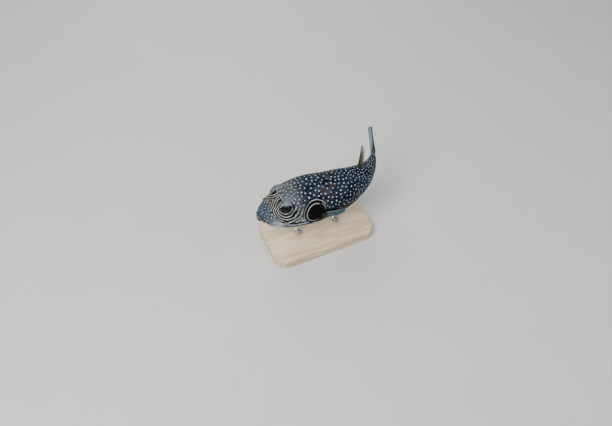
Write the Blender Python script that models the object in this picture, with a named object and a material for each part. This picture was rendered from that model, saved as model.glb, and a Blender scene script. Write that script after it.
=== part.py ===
"""A white-spotted pufferfish, life size, on a plain display stand.

The frame is in metres with +Z up. Its origin is the middle of the stand's underside. The head points to -X,
the fish's left side faces -Y, and the tail sweeps round to +Y, as a puffer's does at the end of a slow stroke.

Places on the fish are given in millimetres as (along, lateral, height): how far behind the snout along the
curved spine, how far to the fish's left, and how far above its axis. place() turns them into the frame.
"""

import math
from dataclasses import dataclass

import bmesh
import bpy
import numpy as np
from mathutils import Matrix, Vector

MM = 0.001
GAP = 0.3  # air between pieces that touch, in millimetres

# ---- driving dimensions, in millimetres ----
TOTAL_LENGTH = 203.0  # snout to the middle of the tail's edge, along the spine
AXIS_HEIGHT = 67.0  # the fish's axis above the floor
SNOUT_AHEAD = 72.0  # how far the snout is ahead of the middle of the base
BEND_STARTS, BEND_ENDS = 51.0, 171.7  # where along the spine the tail's sweep begins and ends
BEND_ANGLE, BEND_POWER = math.radians(77.0), 2.86
LEAN_ANGLE, LEAN_LENGTH = math.radians(4.3), 30.0  # the body first leans a little the other way
ROUND_SECTION = 0.92  # 1 is an ellipse, and less is squarer

EYE_WIDE, EYE_DEEP = 8.2, 6.8  # the eyeball from its middle to its rim, and to the cornea
EYE_PLACE = (29.6, 11.8, 14.0)
EYE_LOOKS = Vector((-0.14, 0.94, 0.31)).normalized()  # along, lateral, height
LID_THICKNESS, LID_BLEND = 0.8, 4.0  # skin over the eyeball, and how softly it runs into the head
LID_OPENING, BROW_LINE = 7.2, 3.2  # the opening's radius, and its flat top's height over the middle
HOLLOW_PLACE, HOLLOW_DEPTH, HOLLOW_REACH = (28.0, 20.5, 6.5), 0.07, 7.0  # the dip below the eye

MOUTH_PLACE = (1.8, 0.0, -2.3)
LIP_HALF_WIDTH, LIP_HALF_HEIGHT, LIP_RADIUS = 5.2, 3.7, 1.9
BEAK_HALF_SIZES, BEAK_BEHIND = (3.6, 4.6, 3.3), 2.8
LIP_CORNER_BACK = 0.8  # how far the mouth's corners lie behind its middle
BEAK_SLIT = 0.5  # half of the space between the two beaks
NOSTRIL_ALONG, NOSTRIL_LATERAL, NOSTRIL_HEIGHT = 13.0, 9.4, 9.6
NOSTRIL_SPREAD, NOSTRIL_MIDDLE = 0.42, 1.7  # how far the lobes lean apart, and how far out their middles are
LOBE_RADIUS, LOBE_HALF_LENGTH = 0.75, 2.6

BASE_LENGTH, BASE_WIDTH, BASE_THICKNESS = 126.0, 74.0, 12.0
BASE_CORNER, BASE_EDGE = 16.0, 1.6
ROD_RADIUS, ROD_BITE = 2.2, 7.0
ROD_PLACES = (50.0, 98.0)  # along the spine
COLLAR_RADIUS, COLLAR_HEIGHT = 4.6, 3.0


@dataclass(frozen=True)
class Station:
    """A cross section of the body, in millimetres from its axis."""

    name: str
    along: float
    top: float
    bottom: float
    half_width: float


BODY_LINES = (
    Station("mouth", 2.4, 3.2, -7.8, 6.8),
    Station("chin", 6.0, 6.9, -10.4, 10.7),
    Station("nostrils", 14.0, 13.0, -18.6, 16.6),
    Station("eyes", 27.0, 21.4, -24.0, 22.2),
    Station("cheeks", 42.0, 25.6, -28.1, 25.8),
    Station("gills", 62.0, 26.8, -31.0, 26.7),
    Station("belly", 82.0, 25.4, -30.7, 23.8),
    Station("flank", 100.0, 23.8, -27.8, 22.0),
    Station("vent", 118.0, 20.4, -22.4, 17.4),
    Station("fins", 134.0, 16.6, -15.0, 13.2),
    Station("stalk", 149.0, 13.4, -7.8, 8.0),
    Station("tail root", 166.0, 12.6, -3.6, 3.0),
)
# Each flesh node's first and last station, and how many sections it is lofted through.
FLESH_NODES = {
    "snout": (2.4, 17.0, 8),
    "head": (17.0, 54.0, 15),
    "trunk": (54.0, 118.0, 13),
    "tail_stalk": (118.0, 166.0, 11),
}
SECTION_POINTS = 40
CUTTER_ENDS, CUTTER_SECTIONS = 166.5, 60  # the body as a cutter runs just past the tail root


@dataclass(frozen=True)
class Fin:
    """A fan of rays. Its vectors are (along, lateral, height) in millimetres."""

    name: str
    foot: tuple  # middle of the base, inside the body
    base: tuple  # from the leading ray's foot to the trailing ray's
    leading: tuple  # direction of the leading ray
    trailing: tuple  # direction of the trailing ray
    length: float
    shares: tuple  # length of the leading, middle and trailing ray, as shares of length
    bow: tuple  # how far the middle of the fin's edge is blown aside
    thickness: tuple  # at the foot and at the edge
    rays: int


FINS = (
    Fin("dorsal_fin", (129.8, -1.4, 16.2), (8.5, 0.0, -2.6), (0.40, -0.20, 0.90), (0.67, -0.31, 0.71),
        25.5, (1.0, 1.0, 0.76), (0.0, -1.2, 0.0), (2.6, 0.6), 9),
    Fin("anal_fin", (131.5, 0.0, -11.5), (9.0, 0.0, 3.8), (0.44, -0.16, -0.88), (0.74, -0.10, -0.66),
        24.0, (0.92, 1.0, 0.76), (0.0, -1.6, 0.0), (2.6, 0.6), 9),
    Fin("caudal_fin", (165.4, 0.1, 4.8), (0.0, -1.4, -14.0), (0.959, 0.064, 0.271), (0.941, 0.018, 0.322),
        35.0, (0.95, 1.10, 1.21), (0.0, 0.6, 0.0), (4.6, 0.6), 9),
    Fin("pectoral_fin_left", (68.5, 24.0, -6.8), (0.5, -2.0, -11.0), (0.96, 0.24, 0.13), (0.94, -0.07, -0.27),
        26.0, (0.98, 0.97, 0.76), (0.0, 1.2, 0.0), (4.0, 0.6), 9),
    Fin("pectoral_fin_right", (68.5, -24.0, -6.8), (0.5, 2.0, -11.0), (0.95, -0.18, 0.10), (0.92, -0.06, -0.34),
        26.0, (0.98, 0.97, 0.76), (0.0, -1.6, 0.0), (4.0, 0.6), 9),
)
FIN_STEPS = 7

# Each finish is (colour, roughness, metallic).
FINISHES = {
    "skin": ((0.045, 0.062, 0.075, 1.0), 0.45, 0.0),
    "fin": ((0.22, 0.25, 0.20, 1.0), 0.40, 0.0),
    "eye": ((0.012, 0.012, 0.010, 1.0), 0.08, 0.0),
    "beak": ((0.72, 0.68, 0.56, 1.0), 0.25, 0.0),
    "wood": ((0.56, 0.46, 0.34, 1.0), 0.50, 0.0),
    "steel": ((0.55, 0.55, 0.56, 1.0), 0.30, 1.0),
}


# ---- the body's lines ----
def smooth_through(known_x, known_y, x):
    """The value at x of a cubic curve through the known points that never overshoots them."""
    step = np.diff(known_x)
    slope = np.diff(known_y) / step
    tangent = np.zeros_like(known_y)
    tangent[0], tangent[-1] = slope[0], slope[-1]
    for i in range(1, len(known_x) - 1):
        before, after = slope[i - 1], slope[i]
        if before * after > 0:
            heavy, light = 2 * step[i] + step[i - 1], step[i] + 2 * step[i - 1]
            tangent[i] = (heavy + light) / (heavy / before + light / after)
    i = int(np.clip(np.searchsorted(known_x, x) - 1, 0, len(known_x) - 2))
    t = (x - known_x[i]) / step[i]
    rise = known_y[i] + (3 * t**2 - 2 * t**3) * (known_y[i + 1] - known_y[i])
    lean = (t**3 - 2 * t**2 + t) * tangent[i] + (t**3 - t**2) * tangent[i + 1]
    return rise + lean * step[i]


def body_line(which, along):
    """How far the body's top, bottom or half_width is from its axis at a place along the spine."""
    known_x = np.array([station.along for station in BODY_LINES])
    known_y = np.array([getattr(station, which) for station in BODY_LINES])
    return smooth_through(known_x, known_y, along)


def heading(along):
    """The spine's angle away from +X, in radians."""
    share = np.clip((along - BEND_STARTS) / (BEND_ENDS - BEND_STARTS), 0.0, 1.0)
    lean = np.clip((along - BEND_STARTS) / LEAN_LENGTH, 0.0, 1.0)
    return BEND_ANGLE * share**BEND_POWER - LEAN_ANGLE * lean * lean * (3 - 2 * lean)


def spine_table():
    """Distances along the spine, and the spine's x and y there, by adding up small steps."""
    along = np.linspace(0.0, TOTAL_LENGTH * 1.1, 441)
    middle = (along[1:] + along[:-1]) / 2
    step = np.diff(along)
    x = np.concatenate([[0.0], np.cumsum(np.cos(heading(middle)) * step)])
    y = np.concatenate([[0.0], np.cumsum(np.sin(heading(middle)) * step)])
    return along, x, y


SPINE = spine_table()


def place(along, lateral, height):
    """A place on the fish as a point of the frame, in metres."""
    turn = float(heading(along))
    x = min(along, 0.0) + np.interp(along, SPINE[0], SPINE[1]) + lateral * math.sin(turn)
    y = np.interp(along, SPINE[0], SPINE[2]) - lateral * math.cos(turn)
    return Vector((x - SNOUT_AHEAD, y, height + AXIS_HEIGHT)) * MM


def towards(along, direction):
    """A direction on the fish at a place along the spine, as a direction of the frame."""
    return (place(*(Vector((along, 0.0, 0.0)) + direction)) - place(along, 0.0, 0.0)).normalized()


def powered(value):
    """value raised to the section's squareness, with its sign kept."""
    return math.copysign(abs(value) ** ROUND_SECTION, value)


def eye_dome(along, direction, middle, grow):
    """How far the skin over the left eye is from the middle of a cross section, or 0 where it isn't met."""
    wide, deep = EYE_WIDE + LID_THICKNESS + grow, EYE_DEEP + LID_THICKNESS + grow
    start = Vector((along, 0.0, middle)) - Vector(EYE_PLACE)
    flat = 1 / deep**2 - 1 / wide**2
    a = 1 / wide**2 + flat * direction.dot(EYE_LOOKS) ** 2
    b = start.dot(direction) / wide**2 + flat * start.dot(EYE_LOOKS) * direction.dot(EYE_LOOKS)
    c = start.dot(start) / wide**2 + flat * start.dot(EYE_LOOKS) ** 2 - 1
    inside = b * b - a * c
    return (math.sqrt(inside) - b) / a if inside > 0 else 0.0


def soft_max(first, second, blend):
    """The larger of two numbers, with a rounded fillet where they are nearly equal."""
    near = max(blend - abs(first - second), 0.0) / blend
    return max(first, second) + near * near * blend / 4


def section(along, grow=0.0):
    """The points of the body's cross section, from the top round the left side, with its eye domes."""
    top, bottom = body_line("top", along) + grow, body_line("bottom", along) - grow
    half_width = body_line("half_width", along) + grow
    middle, half_height = (top + bottom) / 2, (top - bottom) / 2
    points = []
    for i in range(SECTION_POINTS):
        angle = 2 * math.pi * i / SECTION_POINTS
        offset = Vector((0.0, half_width * powered(math.sin(angle)), half_height * powered(math.cos(angle))))
        on_left = Vector((0.0, abs(offset.y), offset.z))
        dip = (Vector((along, on_left.y, middle + on_left.z)) - Vector(HOLLOW_PLACE)).length / HOLLOW_REACH
        reach = offset.length * (1 - HOLLOW_DEPTH * math.exp(-dip * dip))
        dome = eye_dome(along, on_left.normalized(), middle, grow)
        offset = offset.normalized() * soft_max(reach, dome, LID_BLEND)
        points.append(place(along, offset.y, middle + offset.z))
    return points


# ---- modelling helpers ----
def material(name):
    """The named finish as a material, made once."""
    if name in bpy.data.materials:
        return bpy.data.materials[name]
    colour, roughness, metallic = FINISHES[name]
    made = bpy.data.materials.new(name)
    made.use_nodes = True
    shader = made.node_tree.nodes["Principled BSDF"]
    shader.inputs["Base Color"].default_value = colour
    shader.inputs["Roughness"].default_value = roughness
    shader.inputs["Metallic"].default_value = metallic
    return made


def add_object(name, bm, finish, crease=40.0):
    """Turns a bmesh into a smooth-shaded object of that finish."""
    mesh = bpy.data.meshes.new(name)
    bm.to_mesh(mesh)
    bm.free()
    mesh.shade_smooth()
    mesh.set_sharp_from_angle(angle=math.radians(crease))
    mesh.materials.append(material(finish))
    made = bpy.data.objects.new(name, mesh)
    bpy.context.scene.collection.objects.link(made)
    return made


def as_cutter(made):
    """Marks an object as a tool that only cuts others."""
    made.hide_render = True
    made.display_type = "WIRE"
    return made


def cut(target, cutter, label):
    """Takes the cutter's shape out of the target."""
    modifier = target.modifiers.new(label, "BOOLEAN")
    modifier.operation = "DIFFERENCE"
    modifier.solver = "EXACT"
    modifier.object = cutter
    return modifier


def loft(name, first, last, sections, grow=0.0, finish="skin"):
    """A closed length of the body, extruded section by section from its front face."""
    bm = bmesh.new()
    bmesh.ops.create_circle(bm, cap_ends=True, segments=SECTION_POINTS, radius=MM)
    bm.faces.ensure_lookup_table()
    cap = bm.faces[0]
    for number, along in enumerate(np.linspace(first, last, sections)):
        if number > 0:
            made = bmesh.ops.extrude_face_region(bm, geom=[cap])["geom"]
            if number > 1:
                bmesh.ops.delete(bm, geom=[cap], context="FACES_ONLY")
            cap = next(item for item in made if isinstance(item, bmesh.types.BMFace))
        for vert, point in zip(cap.verts, section(along, grow)):
            vert.co = point
    bmesh.ops.recalc_face_normals(bm, faces=bm.faces)
    return add_object(name, bm, finish)


def ball(name, centre, sizes, finish, looks=Vector((0.0, 0.0, 1.0)), segments=18, rings=10):
    """An ellipsoid with its pole towards a direction; centre in metres, sizes in millimetres."""
    bm = bmesh.new()
    bmesh.ops.create_uvsphere(bm, u_segments=segments, v_segments=rings, radius=1.0)
    turn = looks.to_track_quat("Z", "Y").to_matrix().to_4x4()
    grow = Matrix.Diagonal(Vector((*sizes, 1.0)) * MM)
    grow[3][3] = 1.0
    bmesh.ops.transform(bm, matrix=Matrix.Translation(centre) @ turn @ grow, verts=bm.verts)
    return add_object(name, bm, finish)


def rod(name, foot, radius, height, finish, segments=20):
    """An upright cylinder; foot is the middle of its lower end."""
    bm = bmesh.new()
    bmesh.ops.create_cone(
        bm, cap_ends=True, segments=segments, radius1=radius * MM, radius2=radius * MM, depth=height * MM,
        matrix=Matrix.Translation(foot + Vector((0.0, 0.0, height * MM / 2))),
    )
    return add_object(name, bm, finish)


# ---- the fish ----
def make_flesh():
    """The body's lofted lengths, parted by thin cuts."""
    made = {}
    for name, (first, last, sections) in FLESH_NODES.items():
        begin = first if name == "snout" else first + GAP / 2
        end = last if name == "tail_stalk" else last - GAP / 2
        made[name] = loft(name, begin, end, sections)
    return made


def make_eye(side, head):
    """An eyeball in its socket, seen through an opening with a flat brow. side is 1 left and -1 right."""
    name = "eye_left" if side > 0 else "eye_right"
    along, lateral, height = EYE_PLACE
    centre = place(along, side * lateral, height)
    looks = towards(along, Vector((EYE_LOOKS.x, side * EYE_LOOKS.y, EYE_LOOKS.z)))
    ball(name, centre, (EYE_WIDE, EYE_WIDE, EYE_DEEP), "eye", looks)
    room = (EYE_WIDE + GAP, EYE_WIDE + GAP, EYE_DEEP + GAP)
    cut(head, as_cutter(ball(f"socket_{name}", centre, room, "eye", looks)), f"socket_{name}")
    cut(head, as_cutter(make_lid_opening(f"opening_{name}", centre, looks)), f"opening_{name}")


def make_lid_opening(name, centre, looks):
    """A round cutter that looks out of the eye, with a flat top under the brow."""
    bm = bmesh.new()
    depth = 2 * EYE_DEEP
    bmesh.ops.create_cone(
        bm, cap_ends=True, segments=18, radius1=LID_OPENING * MM, radius2=LID_OPENING * MM, depth=depth * MM,
        matrix=Matrix.Translation((0.0, 0.0, depth * MM / 2)),
    )
    everything = list(bm.verts) + list(bm.edges) + list(bm.faces)
    bmesh.ops.bisect_plane(
        bm, geom=everything, dist=1e-7, plane_co=(0.0, BROW_LINE * MM, 0.0), plane_no=(0.0, 1.0, 0.0),
        clear_outer=True,
    )
    bmesh.ops.holes_fill(bm, edges=[e for e in bm.edges if e.is_boundary])
    turn = looks.to_track_quat("Z", "Y").to_matrix().to_4x4()
    bmesh.ops.transform(bm, matrix=Matrix.Translation(centre) @ turn, verts=bm.verts)
    bmesh.ops.recalc_face_normals(bm, faces=bm.faces)
    return add_object(name, bm, "eye")


def make_lip(name, side, snout_cutter, beak_cutter):
    """A fleshy lip along half of the mouth's oval, thinner towards the corners."""
    along, _, height = MOUTH_PLACE
    points = 17
    line = bpy.data.curves.new(f"{name}_line", "CURVE")
    line.dimensions = "3D"
    line.bevel_depth = LIP_RADIUS * MM
    line.bevel_resolution = 3
    line.use_fill_caps = True
    spline = line.splines.new("POLY")
    spline.points.add(points - 1)
    corner = math.radians(5.0)
    for i, angle in enumerate(np.linspace(corner, math.pi - corner, points)):
        at = place(
            along + LIP_CORNER_BACK * math.cos(angle) ** 2,
            LIP_HALF_WIDTH * math.cos(angle),
            height + side * LIP_HALF_HEIGHT * math.sin(angle),
        )
        spline.points[i].co = (*at, 1.0)
        spline.points[i].radius = 0.62 + 0.38 * math.sin(angle)
    guide = bpy.data.objects.new(f"{name}_line", line)
    bpy.context.scene.collection.objects.link(guide)
    bpy.context.view_layer.update()
    mesh = bpy.data.meshes.new_from_object(guide.evaluated_get(bpy.context.evaluated_depsgraph_get()))
    bpy.data.objects.remove(guide)
    bm = bmesh.new()
    bm.from_mesh(mesh)
    bmesh.ops.remove_doubles(bm, verts=bm.verts, dist=0.00001)
    bmesh.ops.recalc_face_normals(bm, faces=bm.faces)
    lip = add_object(name, bm, "skin")
    cut(lip, snout_cutter, "snout")
    cut(lip, beak_cutter, "beak")


def make_beak(name, side):
    """Half of the beak: the part of its egg shape above or below the slit."""
    beak = ball(name, place(*beak_centre()), BEAK_HALF_SIZES, "beak", segments=16, rings=10)
    along, _, height = beak_centre()
    bm = bmesh.new()
    bm.from_mesh(beak.data)
    edge = place(along, 0.0, height + side * BEAK_SLIT)
    everything = list(bm.verts) + list(bm.edges) + list(bm.faces)
    bmesh.ops.bisect_plane(
        bm, geom=everything, dist=1e-7, plane_co=edge, plane_no=(0.0, 0.0, side), clear_inner=True
    )
    bmesh.ops.holes_fill(bm, edges=[e for e in bm.edges if e.is_boundary])
    bmesh.ops.recalc_face_normals(bm, faces=bm.faces)
    bm.to_mesh(beak.data)
    bm.free()


def beak_centre():
    """The middle of the beak's egg shape, just behind the lips."""
    along, lateral, height = MOUTH_PLACE
    return along + BEAK_BEHIND, lateral, height


def make_nostril(name, side, body_cutter):
    """A fleshy nasal tentacle, forked into two blunt lobes."""
    root = Vector((NOSTRIL_ALONG, side * NOSTRIL_LATERAL, NOSTRIL_HEIGHT))
    sizes = (LOBE_RADIUS, LOBE_RADIUS, LOBE_HALF_LENGTH)
    lobes = []
    for lean in (-1, 1):
        out = Vector((NOSTRIL_SPREAD * lean - 0.1, side * 0.55, 0.80)).normalized()
        middle = root + out * NOSTRIL_MIDDLE
        lobes.append(ball(f"{name}_{lean}", place(*middle), sizes, "skin", towards(root.x, out), 10, 6))
    tentacle, other = lobes
    tentacle.name = name
    join = tentacle.modifiers.new("fork", "BOOLEAN")
    join.operation = "UNION"
    join.object = as_cutter(other)
    cut(tentacle, body_cutter, "body")


def fin_share(shares, t):
    """The ray length at t from 0 to 1, by the parabola through the three shares."""
    leading, middle, trailing = shares
    return leading * (1 - t) * (1 - 2 * t) + 4 * middle * t * (1 - t) + trailing * t * (2 * t - 1)


def fin_point(fin, t, reach):
    """A place on a fin's middle: t goes from the leading to the trailing ray, reach from foot to edge."""
    foot = Vector(fin.foot) + (t - 0.5) * Vector(fin.base)
    ray = Vector(fin.leading).lerp(Vector(fin.trailing), t).normalized()
    blown = Vector(fin.bow) * math.sin(math.pi * t) * reach**2
    return foot + ray * (fin.length * fin_share(fin.shares, t) * reach) + blown


def make_fin(fin, body_cutter):
    """A fin as a thin fan, thick at its fleshy foot, cut to meet the body."""
    bm = bmesh.new()
    bmesh.ops.create_grid(bm, x_segments=fin.rays - 1, y_segments=FIN_STEPS, size=0.5)
    thick, thin = fin.thickness
    weights = []
    for vert in bm.verts:
        t, reach = vert.co.x + 0.5, vert.co.y + 0.5
        vert.co = place(*fin_point(fin, t, reach))
        weights.append(thin / thick + (1 - thin / thick) * (1 - reach) ** 2.5)
    made = add_object(fin.name, bm, "fin", 60.0)
    group = made.vertex_groups.new(name="thickness")
    for i, weight in enumerate(weights):
        group.add([i], weight, "REPLACE")
    wall = made.modifiers.new("wall", "SOLIDIFY")
    wall.thickness = thick * MM
    wall.offset = 0.0
    wall.vertex_group = group.name
    cut(made, body_cutter, "body")


# ---- the stand ----
def rod_ends(along):
    """The bottom and top of a rod, in millimetres above the floor: it bites into the base and the belly."""
    return BASE_THICKNESS - ROD_BITE, AXIS_HEIGHT + body_line("bottom", along) + ROD_BITE


def make_base():
    """A flat slab with round corners and softened edges."""
    bm = bmesh.new()
    bmesh.ops.create_cube(
        bm, size=1.0,
        matrix=Matrix.Translation((0.0, 0.0, BASE_THICKNESS * MM / 2))
        @ Matrix.Diagonal((BASE_LENGTH * MM, BASE_WIDTH * MM, BASE_THICKNESS * MM, 1.0)),
    )
    uprights = [e for e in bm.edges if abs(e.verts[0].co.z - e.verts[1].co.z) > MM]
    bmesh.ops.bevel(
        bm, geom=uprights, offset=BASE_CORNER * MM, affect="EDGES", segments=6, profile=0.5, material=-1
    )
    rim = [e for e in bm.edges if abs(e.verts[0].co.z - e.verts[1].co.z) < 1e-6]
    bmesh.ops.bevel(
        bm, geom=rim, offset=BASE_EDGE * MM, affect="EDGES", segments=2, profile=0.5, material=-1
    )
    return add_object("stand_base", bm, "wood")


def make_collar(name, foot):
    """A turned ring that covers the rod's hole in the base."""
    inner, outer = (ROD_RADIUS + GAP) * MM, COLLAR_RADIUS * MM
    height, soft = COLLAR_HEIGHT * MM, 0.5 * MM
    outline = ((inner, 0.0), (outer, 0.0), (outer, height - soft), (outer - soft, height), (inner, height))
    bm = bmesh.new()
    verts = [bm.verts.new(foot + Vector((x, 0.0, z))) for x, z in outline]
    face = bm.faces.new(verts)
    bmesh.ops.spin(
        bm, geom=[face], cent=foot, axis=(0.0, 0.0, 1.0), angle=2 * math.pi, steps=20, use_merge=True
    )
    inner_faces = [f for f in bm.faces if len(f.verts) == len(outline)]
    bmesh.ops.delete(bm, geom=inner_faces, context="FACES_ONLY")
    bmesh.ops.remove_doubles(bm, verts=bm.verts, dist=1e-6)
    bmesh.ops.recalc_face_normals(bm, faces=bm.faces)
    add_object(name, bm, "steel")


def make_stand(flesh):
    """The base, and a rod with its collar at each place along the belly."""
    base = make_base()
    for label, along in zip(("front", "rear"), ROD_PLACES):
        at = place(along, 0.0, 0.0)
        bottom, top = rod_ends(along)
        foot = Vector((at.x, at.y, bottom * MM))
        rod(f"stand_rod_{label}", foot, ROD_RADIUS, top - bottom, "steel")
        hole_foot = foot - Vector((0.0, 0.0, GAP * MM))
        hole = rod(f"hole_{label}", hole_foot, ROD_RADIUS + GAP, top - bottom + 2 * GAP, "steel")
        cut(base, as_cutter(hole), label)
        owner = next(name for name, span in FLESH_NODES.items() if span[0] < along < span[1])
        cut(flesh[owner], hole, f"rod_{label}")
        make_collar(f"stand_collar_{label}", Vector((at.x, at.y, (BASE_THICKNESS + GAP) * MM)))


def main():
    """Clears the scene and builds the model."""
    for old in list(bpy.data.objects):
        bpy.data.objects.remove(old)
    flesh = make_flesh()
    body_cutter = as_cutter(loft("body_cutter", BODY_LINES[0].along, CUTTER_ENDS, CUTTER_SECTIONS, grow=GAP))
    beak_cutter = as_cutter(
        ball("beak_cutter", place(*beak_centre()), tuple(size + GAP for size in BEAK_HALF_SIZES), "beak")
    )
    cut(flesh["snout"], beak_cutter, "mouth")
    for name, side in (("upper", 1), ("lower", -1)):
        make_lip(f"lip_{name}", side, body_cutter, beak_cutter)
        make_beak(f"beak_{name}", side)
    for name, side in (("left", 1), ("right", -1)):
        make_eye(side, flesh["head"])
        make_nostril(f"nostril_{name}", side, body_cutter)
    for fin in FINS:
        make_fin(fin, body_cutter)
    make_stand(flesh)


main()
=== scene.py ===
"""The looks of a white-spotted pufferfish, life size, on a plain display stand.

Places on the fish are rows of (along, lateral, height) in millimetres: how far behind the snout along the curved
spine, how far to the fish's left, and how far above its axis. Body.place turns them into the frame's metres. A turn
is an angle round the body: 0 on the back, a right angle on the fish's left side, and pi under the belly.
"""

import logging
import math
from dataclasses import dataclass, field
from enum import Enum
from typing import Any, Sequence

import bmesh
import bpy
import numpy as np
from mathutils import Matrix, Vector
from mathutils.kdtree import KDTree


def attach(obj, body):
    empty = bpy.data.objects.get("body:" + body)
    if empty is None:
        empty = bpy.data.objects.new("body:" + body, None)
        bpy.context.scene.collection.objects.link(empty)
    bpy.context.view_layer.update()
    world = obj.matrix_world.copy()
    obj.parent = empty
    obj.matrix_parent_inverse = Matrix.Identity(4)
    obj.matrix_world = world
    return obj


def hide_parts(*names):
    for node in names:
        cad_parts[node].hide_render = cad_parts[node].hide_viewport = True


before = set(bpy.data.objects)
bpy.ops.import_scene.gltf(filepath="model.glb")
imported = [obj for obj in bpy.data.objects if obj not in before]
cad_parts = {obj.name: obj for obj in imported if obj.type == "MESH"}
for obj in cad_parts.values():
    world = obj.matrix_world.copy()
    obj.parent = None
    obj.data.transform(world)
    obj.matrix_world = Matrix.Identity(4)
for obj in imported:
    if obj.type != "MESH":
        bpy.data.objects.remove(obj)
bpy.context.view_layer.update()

LOG = logging.getLogger("pufferfish")

MM = 0.001
NO_SPOT = 9.0
TOTAL_LENGTH = 203.0
AXIS_HEIGHT = 67.0
SNOUT_AHEAD = 72.0
Colour = tuple[float, float, float, float]
Array = np.ndarray
Pair = tuple[float, float]
Triple = tuple[float, float, float]
Mesh = bpy.types.Mesh
Material = bpy.types.Material
Piece = bpy.types.Object


def paint(red: int, green: int, blue: int) -> Colour:
    """Turns a colour as a screen shows it, 0 to 255, into the linear one that shaders mix."""
    linear = [
        part / 12.92 if part <= 0.04045 else ((part + 0.055) / 1.055) ** 2.4
        for part in (red / 255, green / 255, blue / 255)
    ]
    return (linear[0], linear[1], linear[2], 1.0)


# ---------------------------------------------------------------- shader maths
class Wire:
    """A shader socket. Arithmetic on it adds Math nodes."""

    def __init__(self, shader: "Shader", socket: bpy.types.NodeSocket) -> None:
        """Keeps the socket and the shader that it is in."""
        self.shader = shader
        self.socket = socket

    def math(self, operation: str, *values: "Wire | float", swapped: bool = False) -> "Wire":
        """Adds a Math node."""
        operands = (*values, self) if swapped else (self, *values)
        return self.shader.node("ShaderNodeMath", {"operation": operation}, dict(enumerate(operands)))

    def __add__(self, other: "Wire | float") -> "Wire":
        """self + other."""
        return self.math("ADD", other)

    __radd__ = __add__

    def __sub__(self, other: "Wire | float") -> "Wire":
        """self - other."""
        return self.math("SUBTRACT", other)

    def __rsub__(self, other: "Wire | float") -> "Wire":
        """other - self."""
        return self.math("SUBTRACT", other, swapped=True)

    def __mul__(self, other: "Wire | float") -> "Wire":
        """self * other."""
        return self.math("MULTIPLY", other)

    __rmul__ = __mul__

    def clear(self, low: float, high: float) -> "Wire":
        """Rises smoothly from 0 at low to 1 at high; high may be the smaller, and then it falls."""
        flipped = high < low
        first, last = (high, low) if flipped else (low, high)
        sockets = {"Value": self, "From Min": first, "From Max": last}
        sockets |= {"To Min": 1.0, "To Max": 0.0} if flipped else {"To Min": 0.0, "To Max": 1.0}
        return self.shader.node("ShaderNodeMapRange", {"interpolation_type": "SMOOTHSTEP"}, sockets)


class Shader:
    """A material's node tree, built with few words."""

    def __init__(self, name: str) -> None:
        """Makes an empty material."""
        self.material = bpy.data.materials.new(name)
        self.material.use_nodes = True
        self.tree = self.material.node_tree
        self.tree.nodes.clear()

    def node(self, kind: str, settings: dict[str, Any], sockets: dict[Any, Any], output: Any = 0) -> Wire:
        """Adds a node, sets it up and links it.

        Args:
            kind: The node's type.
            settings: The node's own settings.
            sockets: Values or wires by socket name or number.
            output: The name or number of the output wanted.

        Returns:
            That output.
        """
        made = self.tree.nodes.new(kind)
        for name, value in settings.items():
            setattr(made, name, value)
        for key, value in sockets.items():
            socket = made.inputs[key]
            if isinstance(value, Wire):
                self.tree.links.new(value.socket, socket)
            else:
                socket.default_value = value
        return Wire(self, made.outputs[output])

    def attribute(self, name: str, output: str = "Fac") -> Wire:
        """Reads an attribute of the mesh."""
        return self.node("ShaderNodeAttribute", {"attribute_name": name}, {}, output)

    def place(self) -> Wire:
        """The shaded point in the frame, in metres."""
        return self.node("ShaderNodeTexCoord", {}, {}, "Object")

    def scaled(self, vector: Wire, factors: Triple) -> Wire:
        """A vector with each of its parts multiplied."""
        return self.node("ShaderNodeVectorMath", {"operation": "MULTIPLY"}, {0: vector, 1: factors})

    def length(self, vector: Wire) -> Wire:
        """A vector's length."""
        return self.node("ShaderNodeVectorMath", {"operation": "LENGTH"}, {0: vector}, "Value")

    def noise(self, size: float, detail: float = 2.0, rough: float = 0.5, stretch: Triple | None = None) -> Wire:
        """Cloudy noise from 0 to 1."""
        at = self.scaled(self.place(), stretch) if stretch else self.place()
        sockets = {"Vector": at, "Scale": 1 / (size * MM), "Detail": detail, "Roughness": rough}
        return self.node("ShaderNodeTexNoise", {}, sockets, "Fac")

    def cells(self, size: float) -> Wire:
        """Distance to the nearest of points scattered about size millimetres apart, in cells."""
        return self.node("ShaderNodeTexVoronoi", {}, {"Vector": self.place(), "Scale": 1 / (size * MM)}, "Distance")

    def mix(self, share: Wire | float, under: Wire | Colour, over: Wire | Colour) -> Wire:
        """Mixes two colours."""
        settings = {"data_type": "RGBA", "clamp_factor": True}
        return self.node("ShaderNodeMix", settings, {0: share, 6: under, 7: over}, 2)

    def bump(self, height: Wire, depth: float, strength: float = 1.0) -> Wire:
        """A Bump node's normal."""
        return self.node("ShaderNodeBump", {}, {"Height": height, "Distance": depth * MM, "Strength": strength})

    def finish(self, **sockets: Any) -> Material:
        """Ends the material with a Principled shader."""
        named = {name.replace("_", " "): value for name, value in sockets.items()}
        surface = self.node("ShaderNodeBsdfPrincipled", {}, named)
        output = self.tree.nodes.new("ShaderNodeOutputMaterial")
        self.tree.links.new(surface.socket, output.inputs["Surface"])
        return self.material


# ---------------------------------------------------------------- the fish's shape
class Side(Enum):
    """The fish's two sides, as the sign of lateral."""

    LEFT = 1
    RIGHT = -1

    @property
    def word(self) -> str:
        """The side's name in a piece's name."""
        return self.name.lower()


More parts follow.
